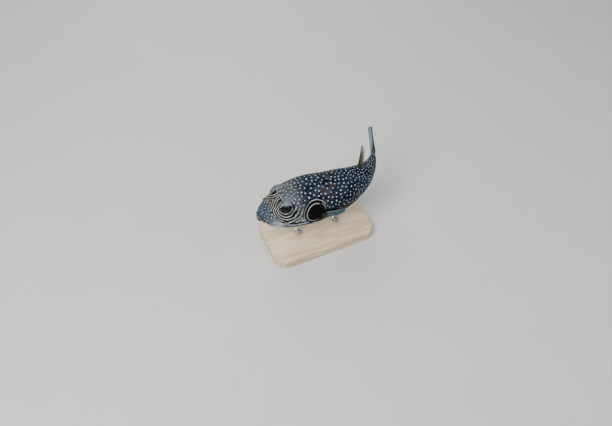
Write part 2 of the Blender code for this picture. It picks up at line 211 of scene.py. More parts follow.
@dataclass(frozen=True)
class Line:
    """A cubic curve through stations along the spine that never overshoots them."""

    alongs: tuple[float, ...]
    values: tuple[float, ...]

    def at(self, along: Array) -> Array:
        """Reads the line.

        Args:
            along: Places along the spine.

        Returns:
            The line's values there, held level past its two ends.
        """
        known_x, known_y = np.array(self.alongs), np.array(self.values)
        step = np.diff(known_x)
        slope = np.diff(known_y) / step
        tangent = np.concatenate([slope[:1], np.zeros(len(known_x) - 2), slope[-1:]])
        for i in range(1, len(known_x) - 1):
            before, after = slope[i - 1], slope[i]
            if before * after > 0:
                heavy, light = 2 * step[i] + step[i - 1], step[i] + 2 * step[i - 1]
                tangent[i] = (heavy + light) / (heavy / before + light / after)
        held = np.clip(along, known_x[0], known_x[-1])
        i = np.clip(np.searchsorted(known_x, held) - 1, 0, len(known_x) - 2)
        t = (held - known_x[i]) / step[i]
        rise = known_y[i] + (3 * t**2 - 2 * t**3) * (known_y[i + 1] - known_y[i])
        lean = (t**3 - 2 * t**2 + t) * tangent[i] + (t**3 - t**2) * tangent[i + 1]
        return rise + lean * step[i]


STATIONS = (2.4, 6.0, 14.0, 27.0, 42.0, 62.0, 82.0, 100.0, 118.0, 134.0, 149.0, 166.0)
TOP = Line(STATIONS, (3.2, 6.9, 13.0, 21.4, 25.6, 26.8, 25.4, 23.8, 20.4, 16.6, 13.4, 12.6))
BOTTOM = Line(STATIONS, (-7.8, -10.4, -18.6, -24.0, -28.1, -31.0, -30.7, -27.8, -22.4, -15.0, -7.8, -3.6))
HALF_WIDTH = Line(STATIONS, (6.8, 10.7, 16.6, 22.2, 25.8, 26.7, 23.8, 22.0, 17.4, 13.2, 8.0, 3.0))


def rows_of(along: Any, lateral: Any, height: Any) -> Array:
    """Stacks three columns into rows of (along, lateral, height)."""
    return np.stack(np.broadcast_arrays(along, lateral, height), axis=-1).astype(float)


def unit(vectors: Array) -> Array:
    """Vectors made one long."""
    return vectors / np.maximum(np.linalg.norm(vectors, axis=-1, keepdims=True), 1e-9)


def smooth(low: float, high: float, value: Any) -> Any:
    """Rises smoothly from 0 at low to 1 at high; high may be the smaller."""
    share = np.clip((value - low) / (high - low), 0.0, 1.0)
    return share * share * (3 - 2 * share)


def window(value: Array, rise: Pair, fall: Pair) -> Array:
    """Rises over the first two values and falls over the last two."""
    return smooth(*rise, value) * smooth(*fall, value)


def soft_max(first: Any, second: Any, blend: float) -> Any:
    """The larger of two values, with a rounded fillet where they are nearly equal."""
    near = np.maximum(blend - np.abs(first - second), 0.0) / blend
    return np.maximum(first, second) + near * near * blend / 4


def soft_min(first: Any, second: Any, blend: float) -> Any:
    """The smaller of two values, rounded where they are nearly equal."""
    return -soft_max(-first, -second, blend)


@dataclass(frozen=True)
class Body:
    """The fish's curved spine, its cross sections and the lids over its eyes, in millimetres."""

    bend_starts: float = 51.0
    bend_ends: float = 171.7
    bend_angle: float = math.radians(77.0)
    bend_power: float = 2.86
    lean_angle: float = math.radians(4.3)
    lean_length: float = 30.0
    squareness: float = 0.92
    skin_depth: float = 0.3
    eye_wide: float = 8.2
    eye_deep: float = 6.8
    eye_place: Triple = (29.6, 11.8, 14.0)
    eye_looks: Triple = (-0.14, 0.94, 0.31)
    lid_thickness: float = 0.8
    lid_blend: float = 4.0
    hollow_place: Triple = (28.0, 20.5, 6.5)
    hollow_depth: float = 0.07
    hollow_reach: float = 7.0

    def heading(self, along: Array) -> Array:
        """The spine's angle away from +X."""
        share = np.clip((along - self.bend_starts) / (self.bend_ends - self.bend_starts), 0.0, 1.0)
        lean = np.clip((along - self.bend_starts) / self.lean_length, 0.0, 1.0)
        return self.bend_angle * share**self.bend_power - self.lean_angle * lean * lean * (3 - 2 * lean)

    def place(self, rows: Array) -> Array:
        """Turns places on the fish into points of the frame."""
        known = np.linspace(0.0, TOTAL_LENGTH * 1.1, 441)
        middle, step = (known[1:] + known[:-1]) / 2, np.diff(known)
        spine_x = np.concatenate([[0.0], np.cumsum(np.cos(self.heading(middle)) * step)])
        spine_y = np.concatenate([[0.0], np.cumsum(np.sin(self.heading(middle)) * step)])
        along, lateral, height = rows[..., 0], rows[..., 1], rows[..., 2]
        turn = self.heading(along)
        x = np.minimum(along, 0.0) + np.interp(along, known, spine_x) + lateral * np.sin(turn) - SNOUT_AHEAD
        y = np.interp(along, known, spine_y) - lateral * np.cos(turn)
        return np.stack([x, y, height + AXIS_HEIGHT], axis=-1) * MM

    def eye_axes(self) -> tuple[Array, Array, Array]:
        """The left eye's own directions: back along the fish, up across the eye, and out of it."""
        looks = unit(np.array(self.eye_looks))
        up = unit(np.array([0.0, 0.0, 1.0]) - looks[2] * looks)
        back = unit(np.array([1.0, 0.0, 0.0]) - looks[0] * looks - up[0] * up)
        return back, up, looks

    def eye_view(self, rows: Array) -> Array:
        """Turns places on the fish's left side, or mirrored ones, into the eye's (back, up, out)."""
        mirrored = rows * [1.0, 0.0, 1.0] + np.abs(rows[..., 1:2]) * [0.0, 1.0, 0.0]
        return (mirrored - self.eye_place) @ np.stack(self.eye_axes(), axis=-1)

    def from_eye_view(self, seen: Array) -> Array:
        """Turns the left eye's (back, up, out) into places on the fish."""
        return seen @ np.stack(self.eye_axes()) + self.eye_place

    def lid_reach(self, rows: Array, direction: Array) -> Array:
        """How far the skin over the left eye is from a section's middle, or 0 where it isn't met.

        Args:
            rows: The sections' middles.
            direction: The directions looked along, with lateral positive.

        Returns:
            The distances.
        """
        wide = self.eye_wide + self.lid_thickness - self.skin_depth
        deep = self.eye_deep + self.lid_thickness - self.skin_depth
        looks = unit(np.array(self.eye_looks))
        start = rows - self.eye_place
        flat = 1 / deep**2 - 1 / wide**2
        along_look, start_look = direction @ looks, start @ looks
        a = 1 / wide**2 + flat * along_look**2
        b = np.sum(start * direction, axis=-1) / wide**2 + flat * start_look * along_look
        c = np.sum(start * start, axis=-1) / wide**2 + flat * start_look**2 - 1
        inside = b * b - a * c
        return np.where(inside > 0, (np.sqrt(np.maximum(inside, 0.0)) - b) / a, 0.0)

    def section(self, along: Array, turn: Array) -> Array:
        """Places on the skin.

        Args:
            along: Places along the spine.
            turn: Angles round the body from its top, towards its left.

        Returns:
            Rows of (along, lateral, height).
        """
        top, bottom = TOP.at(along) - self.skin_depth, BOTTOM.at(along) + self.skin_depth
        half_width = HALF_WIDTH.at(along) - self.skin_depth
        middle, half_height = (top + bottom) / 2, (top - bottom) / 2
        sine, cosine = np.sin(turn), np.cos(turn)
        lateral = half_width * np.sign(sine) * np.abs(sine) ** self.squareness
        height = half_height * np.sign(cosine) * np.abs(cosine) ** self.squareness
        reach = np.hypot(lateral, height)
        on_left = rows_of(along, np.abs(lateral), middle + height)
        dip = np.linalg.norm(on_left - self.hollow_place, axis=-1) / self.hollow_reach
        direction = unit(rows_of(0.0, lateral, height))
        mirrored = np.abs(direction) * [0, 1, 0] + direction * [0, 0, 1]
        dome = self.lid_reach(rows_of(along, 0.0, middle), mirrored)
        reach = soft_max(reach * (1 - self.hollow_depth * np.exp(-dip * dip)), dome, self.lid_blend)
        return rows_of(along, 0.0, middle) + direction * reach[..., None]


FISH = Body()


# ---------------------------------------------------------------- the markings
@dataclass(frozen=True)
class Markings:
    """Where the skin's spots, rings and stripes lie. Sizes are in millimetres."""

    lid_distance: float = 8.5
    lid_angle: float = 1.0
    lid_share_below: float = 0.3
    # The first streak, behind the gill patch, is painted shadow: the black band that the pectoral fin casts on the
    # flank above it. The others are dark markings.
    streaks: tuple[tuple[Pair, Pair, float], ...] = (
        ((66.0, 1.0), (90.0, -5.5), 3.4),
        ((70.0, 17.5), (80.0, 15.0), 1.6),
        ((28.0, -1.0), (18.0, -0.5), 1.3),
        ((28.5, -9.5), (18.0, -8.5), 1.7),
        ((41.0, -5.0), (56.0, -8.0), 1.9),
        ((47.0, -14.0), (33.0, -12.5), 1.4),
        ((11.0, -11.0), (17.0, -12.5), 1.1),
    )
    line_spacing: float = 2.3
    line_widening: float = 1.4
    patch_place: Pair = (61.15, 2.5)
    patch_sizes: Pair = (11.65, 12.35)
    patch_turn: float = 0.3
    outer_ring: float = 3.4
    outer_spacing: float = 2.5
    ring_break: Pair = (0.95, 0.75)
    ring_end: Pair = (0.92, -0.6)
    arc_along: Pair = (67.0, 69.0)
    arc_height: tuple[Pair, Pair] = ((2.0, 5.0), (14.0, 11.0))
    belly_spacing: float = 5.4
    belly_behind: Pair = (138.0, 118.0)
    flank_spacing: float = 3.3
    flank_along: tuple[Pair, Pair] = ((71.0, 80.0), (124.0, 108.0))
    maze_along: tuple[Pair, Pair] = ((92.0, 98.0), (116.0, 110.0))
    maze_below: Pair = (12.0, 6.0)
    throat_along: tuple[Pair, Pair] = ((10.0, 18.0), (66.0, 56.0))
    throat_below: Pair = (1.0, -3.0)
    cheek_along: tuple[Pair, Pair] = ((5.0, 16.0), (60.0, 46.0))
    cheek_below: Pair = (9.0, -3.0)
    fin_foot: tuple[Pair, Pair] = ((67.5, -7.0), (5.4, 8.5))
    brow_middle: Pair = (1.6, 6.4)
    brow_reach: float = 4.6
    above: tuple[tuple[float, ...], tuple[float, ...]] = (
        (18.0, 30.0, 46.0, 62.0, 76.0), (11.0, 19.0, 13.0, 11.0, 6.0)
    )
    spot_floor: Line = Line(
        (0.0, 10.0, 20.0, 30.0, 48.0, 62.0, 74.0, 86.0, 100.0, 116.0, 130.0, 144.0),
        (-5.0, -7.0, -6.0, 4.0, 10.0, 9.0, 2.0, -1.0, -5.0, -13.0, -22.0, -40.0),
    )
    spot_gap: Line = Line(
        (4.0, 20.0, 40.0, 60.0, 90.0, 115.0, 135.0, 150.0, 166.0),
        (3.0, 3.4, 4.2, 5.1, 4.6, 3.6, 3.1, 2.8, 2.4),
    )
    spot_radius: Line = Line(
        (4.0, 20.0, 40.0, 60.0, 90.0, 115.0, 135.0, 150.0, 166.0),
        (0.60, 0.66, 0.80, 0.98, 0.88, 0.74, 0.66, 0.60, 0.54),
    )
    belly_line: Line = Line(
        (0.0, 20.0, 45.0, 62.0, 82.0, 105.0, 125.0, 140.0),
        (-9.0, -10.0, -13.0, -19.0, -21.0, -21.0, -17.0, -15.0),
    )

    def eye_distance(self, rows: Array) -> Array:
        """How far places are outside the nearer eye's lids."""
        return np.linalg.norm(FISH.eye_view(rows), axis=-1) - self.lid_distance

    def over_lid(self, rows: Array) -> Array:
        """How far places on the lids are from their edge, along the skin; less is counted below the eye."""
        back, up, out = np.moveaxis(FISH.eye_view(rows), -1, 0)
        angle = np.minimum(np.arctan2(np.hypot(back, up), out), math.pi / 2)
        share = self.lid_share_below + (1 - self.lid_share_below) * smooth(-3.0, 2.0, up)
        return share * self.lid_distance * np.maximum(angle - self.lid_angle, 0.0)

    def patch_distance(self, rows: Array) -> Array:
        """Distance from the middle of the gill patch, where its white ring is at 1."""
        back, up = rows[..., 0] - self.patch_place[0], rows[..., 2] - self.patch_place[1]
        sine, cosine = math.sin(self.patch_turn), math.cos(self.patch_turn)
        wide, high = self.patch_sizes
        return np.hypot((back * cosine + up * sine) / wide, (up * cosine - back * sine) / high)

    def line_reach(self, rows: Array) -> Array:
        """How far the lines spread from the eye and the gill: not above them, and widely ahead and below."""
        along, height = rows[..., 0], rows[..., 2]
        above = np.interp(along, *self.above)
        low = smooth(above + 2.0, above - 7.0, height)
        front = window(along, (11.0, 16.0), (30.0, 24.0))
        behind = smooth(64.0, 74.0, along)
        back, up, _ = np.moveaxis(FISH.eye_view(rows), -1, 0)
        over_eye = smooth(2.0, 5.5, up) * smooth(-5.0, -2.5, back)
        over_eye = over_eye * smooth(12.0, 8.0, self.eye_distance(rows))
        reach = 2.6 + 7.5 * np.maximum(low, front) * (1 - behind) + 6.0 * low * smooth(8.0, -6.0, height)
        reach = reach - 5.5 * smooth(26.0, 17.0, along) * smooth(13.0, 5.0, height)
        return reach * (1 - over_eye) - 1.5 * over_eye

    def line_field(self, rows: Array) -> tuple[Array, Array, Array]:
        """The lines round the eye, which bend to follow the gill's ring where they come near it.

        Args:
            rows: Places on the skin.

        Returns:
            A count of lines, the distance outwards from both, and how strongly the lines show.
        """
        from_eye = self.eye_distance(rows)
        from_ring = (self.patch_distance(rows) - 1) * self.patch_sizes[0]
        outwards = soft_min(from_eye, from_ring - self.outer_ring + 1.0, 5.0)
        reach = self.line_reach(rows)
        shown = smooth(reach + 1.0, reach - 1.0, outwards) * smooth(-2.0, -1.0, outwards)
        along, height = rows[..., 0], rows[..., 2]
        wider = np.maximum(smooth(12.0, 4.0, height), smooth(33.0, 41.0, along)) * smooth(16.0, 26.0, along)
        round_eye = 0.2 + (from_eye + self.over_lid(rows)) / (self.line_spacing + self.line_widening * wider)
        round_ring = 3.25 + (self.outer_ring - from_ring) / self.outer_spacing
        underneath = smooth(1.0, -7.0, height) * smooth(60.0, 52.0, along)
        bias = 2.4 * underneath - 0.8 * np.maximum(from_eye - 11.0, 0.0) * (1 - underneath)
        near_ring = smooth(6.5, 2.5, from_ring + bias)
        lines = round_eye * (1 - near_ring) + round_ring * near_ring
        shown = shown * (1 - self.brow(rows)) * smooth(3.0, 8.0, along) * smooth(-5.0, -1.0, height)
        shown = shown * (1 - smooth(70.0, 73.0, along) * smooth(11.0, 8.0, height))
        return lines, outwards, shown

    def brow(self, rows: Array) -> Array:
        """The smooth pale pad over each eye."""
        back, up, _ = np.moveaxis(FISH.eye_view(rows), -1, 0)
        wide = np.hypot(back - self.brow_middle[0], up - self.brow_middle[1]) / self.brow_reach
        return smooth(1.3, 0.35, wide) * (rows[..., 2] > 12.0) * smooth(6.0, 11.0, np.abs(rows[..., 1]))

    def wedge(self, rows: Array, start: Pair, end: Pair, half: float) -> Array:
        """A streak on both sides, from start to end as (along, height), that narrows from half to nothing."""
        first, run = np.array(start), np.array(end) - np.array(start)
        flat = rows[..., [0, 2]] - first
        share = np.clip(flat @ run / (run @ run), 0.0, 1.0)
        away = np.linalg.norm(flat - share[..., None] * run, axis=-1)
        return smooth(1.15, 0.7, away / (half * (1 - 0.85 * share)))

    def spotted(self, rows: Array) -> Array:
        """Whether places are where white spots are scattered."""
        _, outwards, shown = self.line_field(rows)
        clear_of_lines = (shown < 0.25) & (outwards > 0.3)
        above = rows[..., 2] > self.spot_floor.at(rows[..., 0])
        # Spots stay off the gill patch and off the painted shadow of the pectoral fin.
        clear_of_patch_and_fin_shadow = (self.patch_distance(rows) > 1.24) & (self.wedge(rows, *self.streaks[0]) < 0.3)
        return above & clear_of_lines & clear_of_patch_and_fin_shadow & (rows[..., 0] > 1.5) & (self.brow(rows) < 0.35)

    def at(self, rows: Array) -> dict[str, Array]:
        """Everything that the skin's material reads at places on the skin.

        Args:
            rows: Places on the skin.

        Returns:
            One column of numbers for each attribute's name.
        """
        along, lateral, height = rows[..., 0], rows[..., 1], rows[..., 2]
        lines, _, shown = self.line_field(rows)
        patch = self.patch_distance(rows)
        outwards = unit(np.stack([along, height], axis=-1) - self.patch_place)
        broken = smooth(0.80, 0.97, outwards @ unit(np.array(self.ring_break)))
        behind = smooth(0.55, 0.9, outwards @ unit(np.array(self.ring_end)))
        girth = np.abs(lateral) + 0.35 * np.maximum(height + 24.0, 0.0)
        edge = self.belly_line.at(along)
        below_spots = smooth(1.0, -3.0, height - self.spot_floor.at(along))
        flank = window(along, *self.flank_along) * below_spots * smooth(edge - 1.0, edge + 3.0, height)
        maze = window(along, *self.maze_along) * smooth(*self.maze_below, height) * smooth(edge, edge + 6.0, height)
        arc = smooth(*self.arc_along, along) * window(height, *self.arc_height)
        throat = window(along, *self.throat_along) * smooth(*self.throat_below, height)
        foot_middle, foot_sizes = self.fin_foot
        from_foot = np.hypot((along - foot_middle[0]) / foot_sizes[0], (height - foot_middle[1]) / foot_sizes[1])
        return {
            "lines": lines,
            "lines_show": shown,
            "patch": patch,
            "ring_show": (1 - broken) * (1 - behind) * (np.abs(lateral) > 8.0),
            "stripes": girth / self.belly_spacing,
            "stripes_show": smooth(4.0, 9.0, np.abs(lateral)) * smooth(edge + 4.0, edge - 1.0, height),
            "flank": (height * 0.8 + along * 0.55) / self.flank_spacing,
            "flank_show": flank,
            "maze": maze,
            # The dark streaks; the first one is painted shadow of the pectoral fin on the flank.
            "shade": np.max([self.wedge(rows, *streak) for streak in self.streaks], axis=0),
            "second_arc": arc,
            "fin_foot": smooth(1.25, 0.9, from_foot),
            "belly": smooth(edge + 4.0, edge - 4.0, height) * smooth(*self.belly_behind, along),
            "cheek": window(along, *self.cheek_along) * smooth(*self.cheek_below, height),
            "waves": throat * smooth(edge - 5.0, edge, height),
            "brow": self.brow(rows),
            "along": along,
            "upper": smooth(-6.0, 18.0, height),
        }


MARKS = Markings()


# ---------------------------------------------------------------- finishes
class Finish:
    """A look that can be made into a material."""

    def material(self, name: str) -> Material:
        """Makes the look into a material of that name."""
        return self.shade(Shader(name))

    def shade(self, s: Shader) -> Material:
        """Draws the look with the shader, and gives its material."""
        raise NotImplementedError


@dataclass(frozen=True)
class SkinFinish(Finish):
    """Charcoal-blue puffer skin with white spots, rings and stripes."""

    dark: Colour = paint(8, 15, 24)
    mid: Colour = paint(28, 40, 53)
    light: Colour = paint(70, 80, 90)
    brown: Colour = paint(76, 68, 60)
    crown: Colour = paint(88, 91, 91)
    snout: Colour = paint(50, 61, 74)
    cheek: Colour = paint(112, 119, 122)
    throat: Colour = paint(142, 148, 156)
    brow: Colour = paint(122, 127, 142)
    belly: Colour = paint(222, 224, 218)
    black: Colour = paint(4, 5, 8)
    white: Colour = paint(190, 198, 206)
    lilac: Colour = paint(142, 154, 190)
    ring: Colour = paint(172, 177, 172)
    warm: Colour = paint(152, 140, 118)
    gum: Colour = paint(64, 44, 46)

    def shade(self, s: Shader) -> Material:
        """Paints the skin from its ground up to its spots."""
        cloud, grain, patch = s.noise(4.5, 3.0, 0.6), s.noise(0.9, 2.0), s.attribute("patch")
        colour = self.ground(s, cloud)
        colour = self.underside(s, colour)
        colour = self.lines(s, colour)
        colour = self.gill(s, colour, patch)
        colour = self.spots(s, colour)
        colour = s.mix(s.attribute("gum"), colour, self.gum)
        relief = s.cells(0.75) * 0.55 + grain * 0.45 + cloud * 0.4
        roughness = 0.42 + grain * 0.16 + patch.clear(1.3, 1.0) * 0.3
        return s.finish(
            Base_Color=colour, Roughness=roughness, Normal=s.bump(relief, 0.10, 0.8), Specular_IOR_Level=0.07
        )

    def ground(self, s: Shader, cloud: Wire) -> Wire:
        """The blotchy dark ground, browner on the shoulders and paler on the crown and the snout."""
        along, upper = s.attribute("along"), s.attribute("upper")
        colour = s.mix(s.noise(13.0, 3.0).clear(0.36, 0.62), self.dark, self.mid)
        colour = s.mix(cloud.clear(0.50, 0.75) * 0.45, colour, self.light)
        shoulder = along.clear(60.0, 72.0) * along.clear(98.0, 82.0) * upper.clear(0.8, 1.0)
        colour = s.mix(shoulder * s.noise(9.0).clear(0.46, 0.60) * 0.45, colour, self.brown)
        crown = along.clear(56.0, 36.0) * (s.noise(8.0, 2.0, 0.6).clear(0.38, 0.58) * 0.55 + 0.35)
        colour = s.mix(crown, colour, self.crown)
        furrows = s.noise(2.6, 2.0, 0.6, stretch=(0.45, 1.3, 1.3))
        colour = s.mix(crown * furrows.clear(0.52, 0.66) * 0.55, colour, self.cheek)
        colour = s.mix(crown * furrows.clear(0.46, 0.34) * 0.5, colour, self.mid)
        colour = s.mix(along.clear(24.0, 8.0) * 0.8, colour, self.snout)
        return s.mix(s.attribute("cheek") * 0.75, colour, self.cheek)

    def underside(self, s: Shader, colour: Wire) -> Wire:
        """The slanting flank bars, the striped belly and the marbled throat."""
        wobble = (s.noise(7.0) - 0.5) * 1.1
        flank = ((s.attribute("flank") + wobble * 1.6) * math.tau).math("SINE")
        flank_show = s.attribute("flank_show")
        colour = s.mix(flank_show * 0.7, colour, self.dark)
        colour = s.mix(flank_show * flank.clear(0.15, 0.65) * 0.55, colour, self.cheek)
        colour = s.mix(flank_show * flank.clear(-0.1, -0.6) * 0.85, colour, self.black)
        colour = s.mix(s.attribute("belly"), colour, self.belly)
        stripes = ((s.attribute("stripes") + wobble * 0.5) * math.tau).math("COSINE")
        colour = s.mix(s.attribute("stripes_show") * stripes.clear(0.05, 0.5) * 0.9, colour, self.dark)
        swirl, waves = s.noise(6.5, 2.0, 0.4, stretch=(0.45, 0.8, 1.25)), s.attribute("waves")
        colour = s.mix(waves, colour, self.throat)
        colour = s.mix(waves * swirl.clear(0.45, 0.41), colour, self.black)
        return s.mix(waves * swirl.clear(0.55, 0.59), colour, self.white)

    def lines(self, s: Shader, colour: Wire) -> Wire:
        """The pads over the eyes, and the dark and pale lines round the eyes and the gills."""
        along, upper, brow = s.attribute("along"), s.attribute("upper"), s.attribute("brow")
        streaks = s.noise(2.2, 2.0, 0.6, stretch=(0.35, 0.8, 1.6))
        colour = s.mix(brow * (0.45 + streaks.clear(0.35, 0.65) * 0.4), colour, self.brow)
        wobble = (s.noise(5.0) - 0.5) * 0.6 + (s.noise(11.0, 1.0) - 0.5) * (s.attribute("cheek") * 1.8)
        rings = ((s.attribute("lines") + wobble) * math.tau).math("SINE")
        colour = s.mix(brow * rings.clear(0.1, -0.6) * 0.45, colour, self.mid)
        faded = 1 - along.clear(37.0, 42.0) * along.clear(54.0, 50.0) * upper.clear(0.05, 0.35) * 0.5
        shown = s.attribute("lines_show") * faded
        colour = s.mix(shown * rings.clear(0.45, -0.05) * 0.92, colour, self.black)
        warmth = along.clear(36.0, 24.0) * s.noise(7.0, 1.0).clear(0.40, 0.60) * 0.8
        strength = s.noise(6.0).clear(0.32, 0.58) * 0.55 + 0.45
        return s.mix(shown * rings.clear(0.42, 0.86) * strength, colour, s.mix(warmth, self.ring, self.warm))

    def gill(self, s: Shader, colour: Wire, patch: Wire) -> Wire:
        """The rear flank's maze, the dark streaks, among them the painted shadow of the pectoral fin on the flank,
        and the black patch with its white ring and arc.
        """
        maze = s.noise(2.6, 1.0, 0.4, stretch=(1.0, 1.0, 0.6))
        colour = s.mix(s.attribute("maze") * maze.clear(0.53, 0.49) * 0.9, colour, self.black)
        # Black at the fin's foot, in the dark streaks with the painted fin shadow, and on the gill patch.
        shade = s.attribute("fin_foot") + s.attribute("shade") * 0.95 + patch.clear(1.27, 1.20)
        colour = s.mix(shade.clear(0.0, 1.0), colour, self.black)
        ring = patch.clear(0.950, 0.972) * patch.clear(1.036, 1.014) * s.attribute("ring_show")
        arc = patch.clear(1.055, 1.08) * patch.clear(1.14, 1.11) * s.attribute("second_arc") * 0.7
        return s.mix((ring + arc).clear(0.0, 1.0), colour, self.ring)

    def spots(self, s: Shader, colour: Wire) -> Wire:
        """The white to lilac spots, each on a darker halo."""
        spot = s.length(s.attribute("spot", "Vector")) + (s.noise(1.6, 1.0) - 0.5) * 0.35
        tone = s.attribute("spot_tone")
        colour = s.mix(spot.clear(1.75, 1.1) * 0.5, colour, self.dark)
        shown = spot.clear(1.06, 0.82) * (0.72 + tone * 0.28)
        return s.mix(shown, colour, s.mix(tone, self.lilac, self.white))


@dataclass(frozen=True)
class FinFinish(Finish):
    """Thin fin: spotted or dark skin at its foot, then clear membrane between tinted rays."""

    foot: Colour
    ray: Colour
    membrane: Colour
    edge: Colour
    foot_ends: float
    clearness: float
    edge_strength: float = 0.0
    lead: Colour = paint(76, 75, 41)
    lead_ends: float = -1.0

    def shade(self, s: Shader) -> Material:
        """Paints the fin from its foot to its edge."""
        reach, ridge, side = s.attribute("reach"), s.attribute("ridge"), s.attribute("side_edge")
        uneven = (s.noise(2.2, 2.0) - 0.5) * 0.16
        foot = (reach + uneven).clear(self.foot_ends + 0.12, self.foot_ends - 0.05)
        colour = s.mix(ridge.clear(0.25, 0.75) * 0.85, self.membrane, self.ray)
        mottle = s.noise(1.4, 2.0)
        colour = s.mix(mottle.clear(0.52, 0.72) * 0.35, colour, self.edge)
        lead = s.attribute("across").clear(self.lead_ends + 0.25, self.lead_ends - 0.1) * reach.clear(0.95, 0.5)
        colour = s.mix(lead, colour, self.lead)
        colour = s.mix(foot, colour, self.foot)
        colour = s.mix(side * self.edge_strength, colour, self.edge)
        solid = foot + lead + ridge.clear(0.2, 0.8) * 0.35 + side * self.edge_strength
        alpha = 1 - (1 - solid.clear(0.0, 1.0)) * self.clearness
        relief = ridge * 0.5 + mottle * 0.5
        return s.finish(
            Base_Color=colour, Roughness=0.34 + mottle * 0.14, Alpha=alpha, Normal=s.bump(relief, 0.08, 0.7),
            Specular_IOR_Level=0.15,
        )


@dataclass(frozen=True)
class EyeFinish(Finish):
    """A dark, glossy eye: black pupil, thin gold ring and a mottled olive iris."""

    pupil: Colour = paint(3, 4, 7)
    gold: Colour = paint(62, 56, 32)
    iris: Colour = paint(8, 9, 8)
    fleck: Colour = paint(34, 38, 22)
    rim: Colour = paint(8, 9, 12)
    pupil_radius: float = 2.9
    iris_radius: float = 6.3

    def shade(self, s: Shader) -> Material:
        """Paints the iris, the gold ring and the pupil."""
        gaze = s.attribute("gaze", "Vector")
        radius = s.length(s.scaled(gaze, (1.0, 1.0, 0.0)))
        uneven = (s.noise(0.9, 2.0) - 0.5) * 0.7
        flecks = s.noise(0.55, 3.0, 0.65).clear(0.50, 0.68) * s.noise(2.4, 1.0).clear(0.40, 0.60)
        colour = s.mix(flecks * 0.6, self.iris, self.fleck)
        colour = s.mix((radius + uneven).clear(self.iris_radius - 1.4, self.iris_radius), colour, self.rim)
        band = (radius + uneven * 0.3).clear(self.pupil_radius + 0.65, self.pupil_radius + 0.25)
        colour = s.mix(band * 0.4, colour, self.gold)
        inside = (radius + uneven * 0.2).clear(self.pupil_radius + 0.1, self.pupil_radius - 0.15)
        colour = s.mix(inside, colour, self.pupil)
        return s.finish(
            Base_Color=colour, Roughness=0.30 + flecks * 0.1, Specular_IOR_Level=0.06, Coat_Weight=0.28,
            Coat_Roughness=0.03, Coat_IOR=1.40,
        )


@dataclass(frozen=True)
class BeakFinish(Finish):
    """Ivory tooth plate, darker towards the gum and along its middle groove, and scratched along its edge."""

    ivory: Colour = paint(226, 219, 196)
    stain: Colour = paint(168, 150, 116)

    def shade(self, s: Shader) -> Material:
        """Paints the plate."""
        streaks = s.noise(0.5, 3.0, 0.6, stretch=(0.25, 2.2, 1.0))
        gum_and_groove_darkening = s.attribute("gum_and_groove_darkening")
        # Darker in fine streaks, towards the gum and along the groove.
        colour = s.mix(streaks.clear(0.45, 0.75) * 0.4 + gum_and_groove_darkening * 0.55, self.ivory, self.stain)
        return s.finish(
            Base_Color=colour, Roughness=0.22 + streaks * 0.14, Normal=s.bump(streaks, 0.05, 0.6),
            Coat_Weight=0.3, Coat_Roughness=0.15,
        )


@dataclass(frozen=True)
class WoodFinish(Finish):
    """Pale, oiled maple with fine grain along the base."""

    pale: Colour = paint(214, 196, 166)
    dark: Colour = paint(178, 151, 112)

    def shade(self, s: Shader) -> Material:
        """Paints the grain."""
        stretched = s.scaled(s.place(), (0.10, 1.0, 1.0))
        bend = (s.noise(30.0, stretch=(0.3, 1.0, 1.0)) - 0.5) * 5.0
        band = s.node("ShaderNodeTexNoise", {}, {"Vector": stretched, "Scale": 130.0, "Detail": 3.0}, "Fac")
        rings = (bend * 4.0 + band * 22.0).math("SINE")
        pores = s.noise(0.45, 2.0, 0.6, stretch=(0.05, 1.0, 1.0))
        colour = s.mix(rings.clear(-0.8, 1.0) * 0.5 + pores.clear(0.55, 0.75) * 0.35, self.pale, self.dark)
        return s.finish(
            Base_Color=colour, Roughness=0.42 + pores * 0.16, Normal=s.bump(pores + rings * 0.1, 0.05, 0.5),
            Coat_Weight=0.12, Coat_Roughness=0.25,
        )


@dataclass(frozen=True)
class SteelFinish(Finish):
    """Satin steel, brushed round the rod."""

    bright: Colour = paint(196, 198, 200)
    dull: Colour = paint(158, 160, 163)

    def shade(self, s: Shader) -> Material:
        """Paints the brushed metal."""
        brushed = s.noise(0.8, 3.0, 0.7, stretch=(0.2, 0.2, 6.0))
        smudge = s.noise(9.0, 2.0)
        colour = s.mix(brushed.clear(0.35, 0.7), self.bright, self.dull)
        return s.finish(
            Base_Color=colour, Metallic=1.0, Roughness=0.24 + brushed * 0.12 + smudge * 0.08,
            Normal=s.bump(brushed, 0.02, 0.4),
        )


@dataclass(frozen=True)
class FloorFinish(Finish):
    """Matt, pale studio floor."""

    tone: Colour = paint(206, 205, 202)
    dull: Colour = paint(200, 199, 197)

    def shade(self, s: Shader) -> Material:
        """Paints the floor."""
        return s.finish(Base_Color=s.mix(s.noise(60.0, 2.0), self.tone, self.dull), Roughness=0.85)


# ---------------------------------------------------------------- pieces
def column(mesh: Mesh, name: str, values: Array, domain: str = "POINT") -> None:
    """Stores numbers or vectors on a mesh for its material to read."""
    kind = "FLOAT_VECTOR" if values.ndim == 2 else "FLOAT"
    made = mesh.attributes.new(name, kind, domain)
    made.data.foreach_set("vector" if values.ndim == 2 else "value", values.astype(np.float32).ravel())


def points_of(mesh: Mesh) -> Array:
    """A mesh's points as rows."""
    flat = np.empty(len(mesh.vertices) * 3, np.float32)
    mesh.vertices.foreach_get("co", flat)
    return flat.reshape(-1, 3).astype(float)


def move_points(mesh: Mesh, points: Array) -> None:
    """Gives a mesh's points new places, as rows in metres."""
    mesh.vertices.foreach_set("co", points.astype(np.float32).ravel())
    mesh.update()


def mesh_of(bm: bmesh.types.BMesh, name: str) -> Mesh:
    """Turns a bmesh into a smooth-shaded mesh and frees it."""
    mesh = bpy.data.meshes.new(name)
    bm.to_mesh(mesh)
    bm.free()
    mesh.shade_smooth()
    return mesh


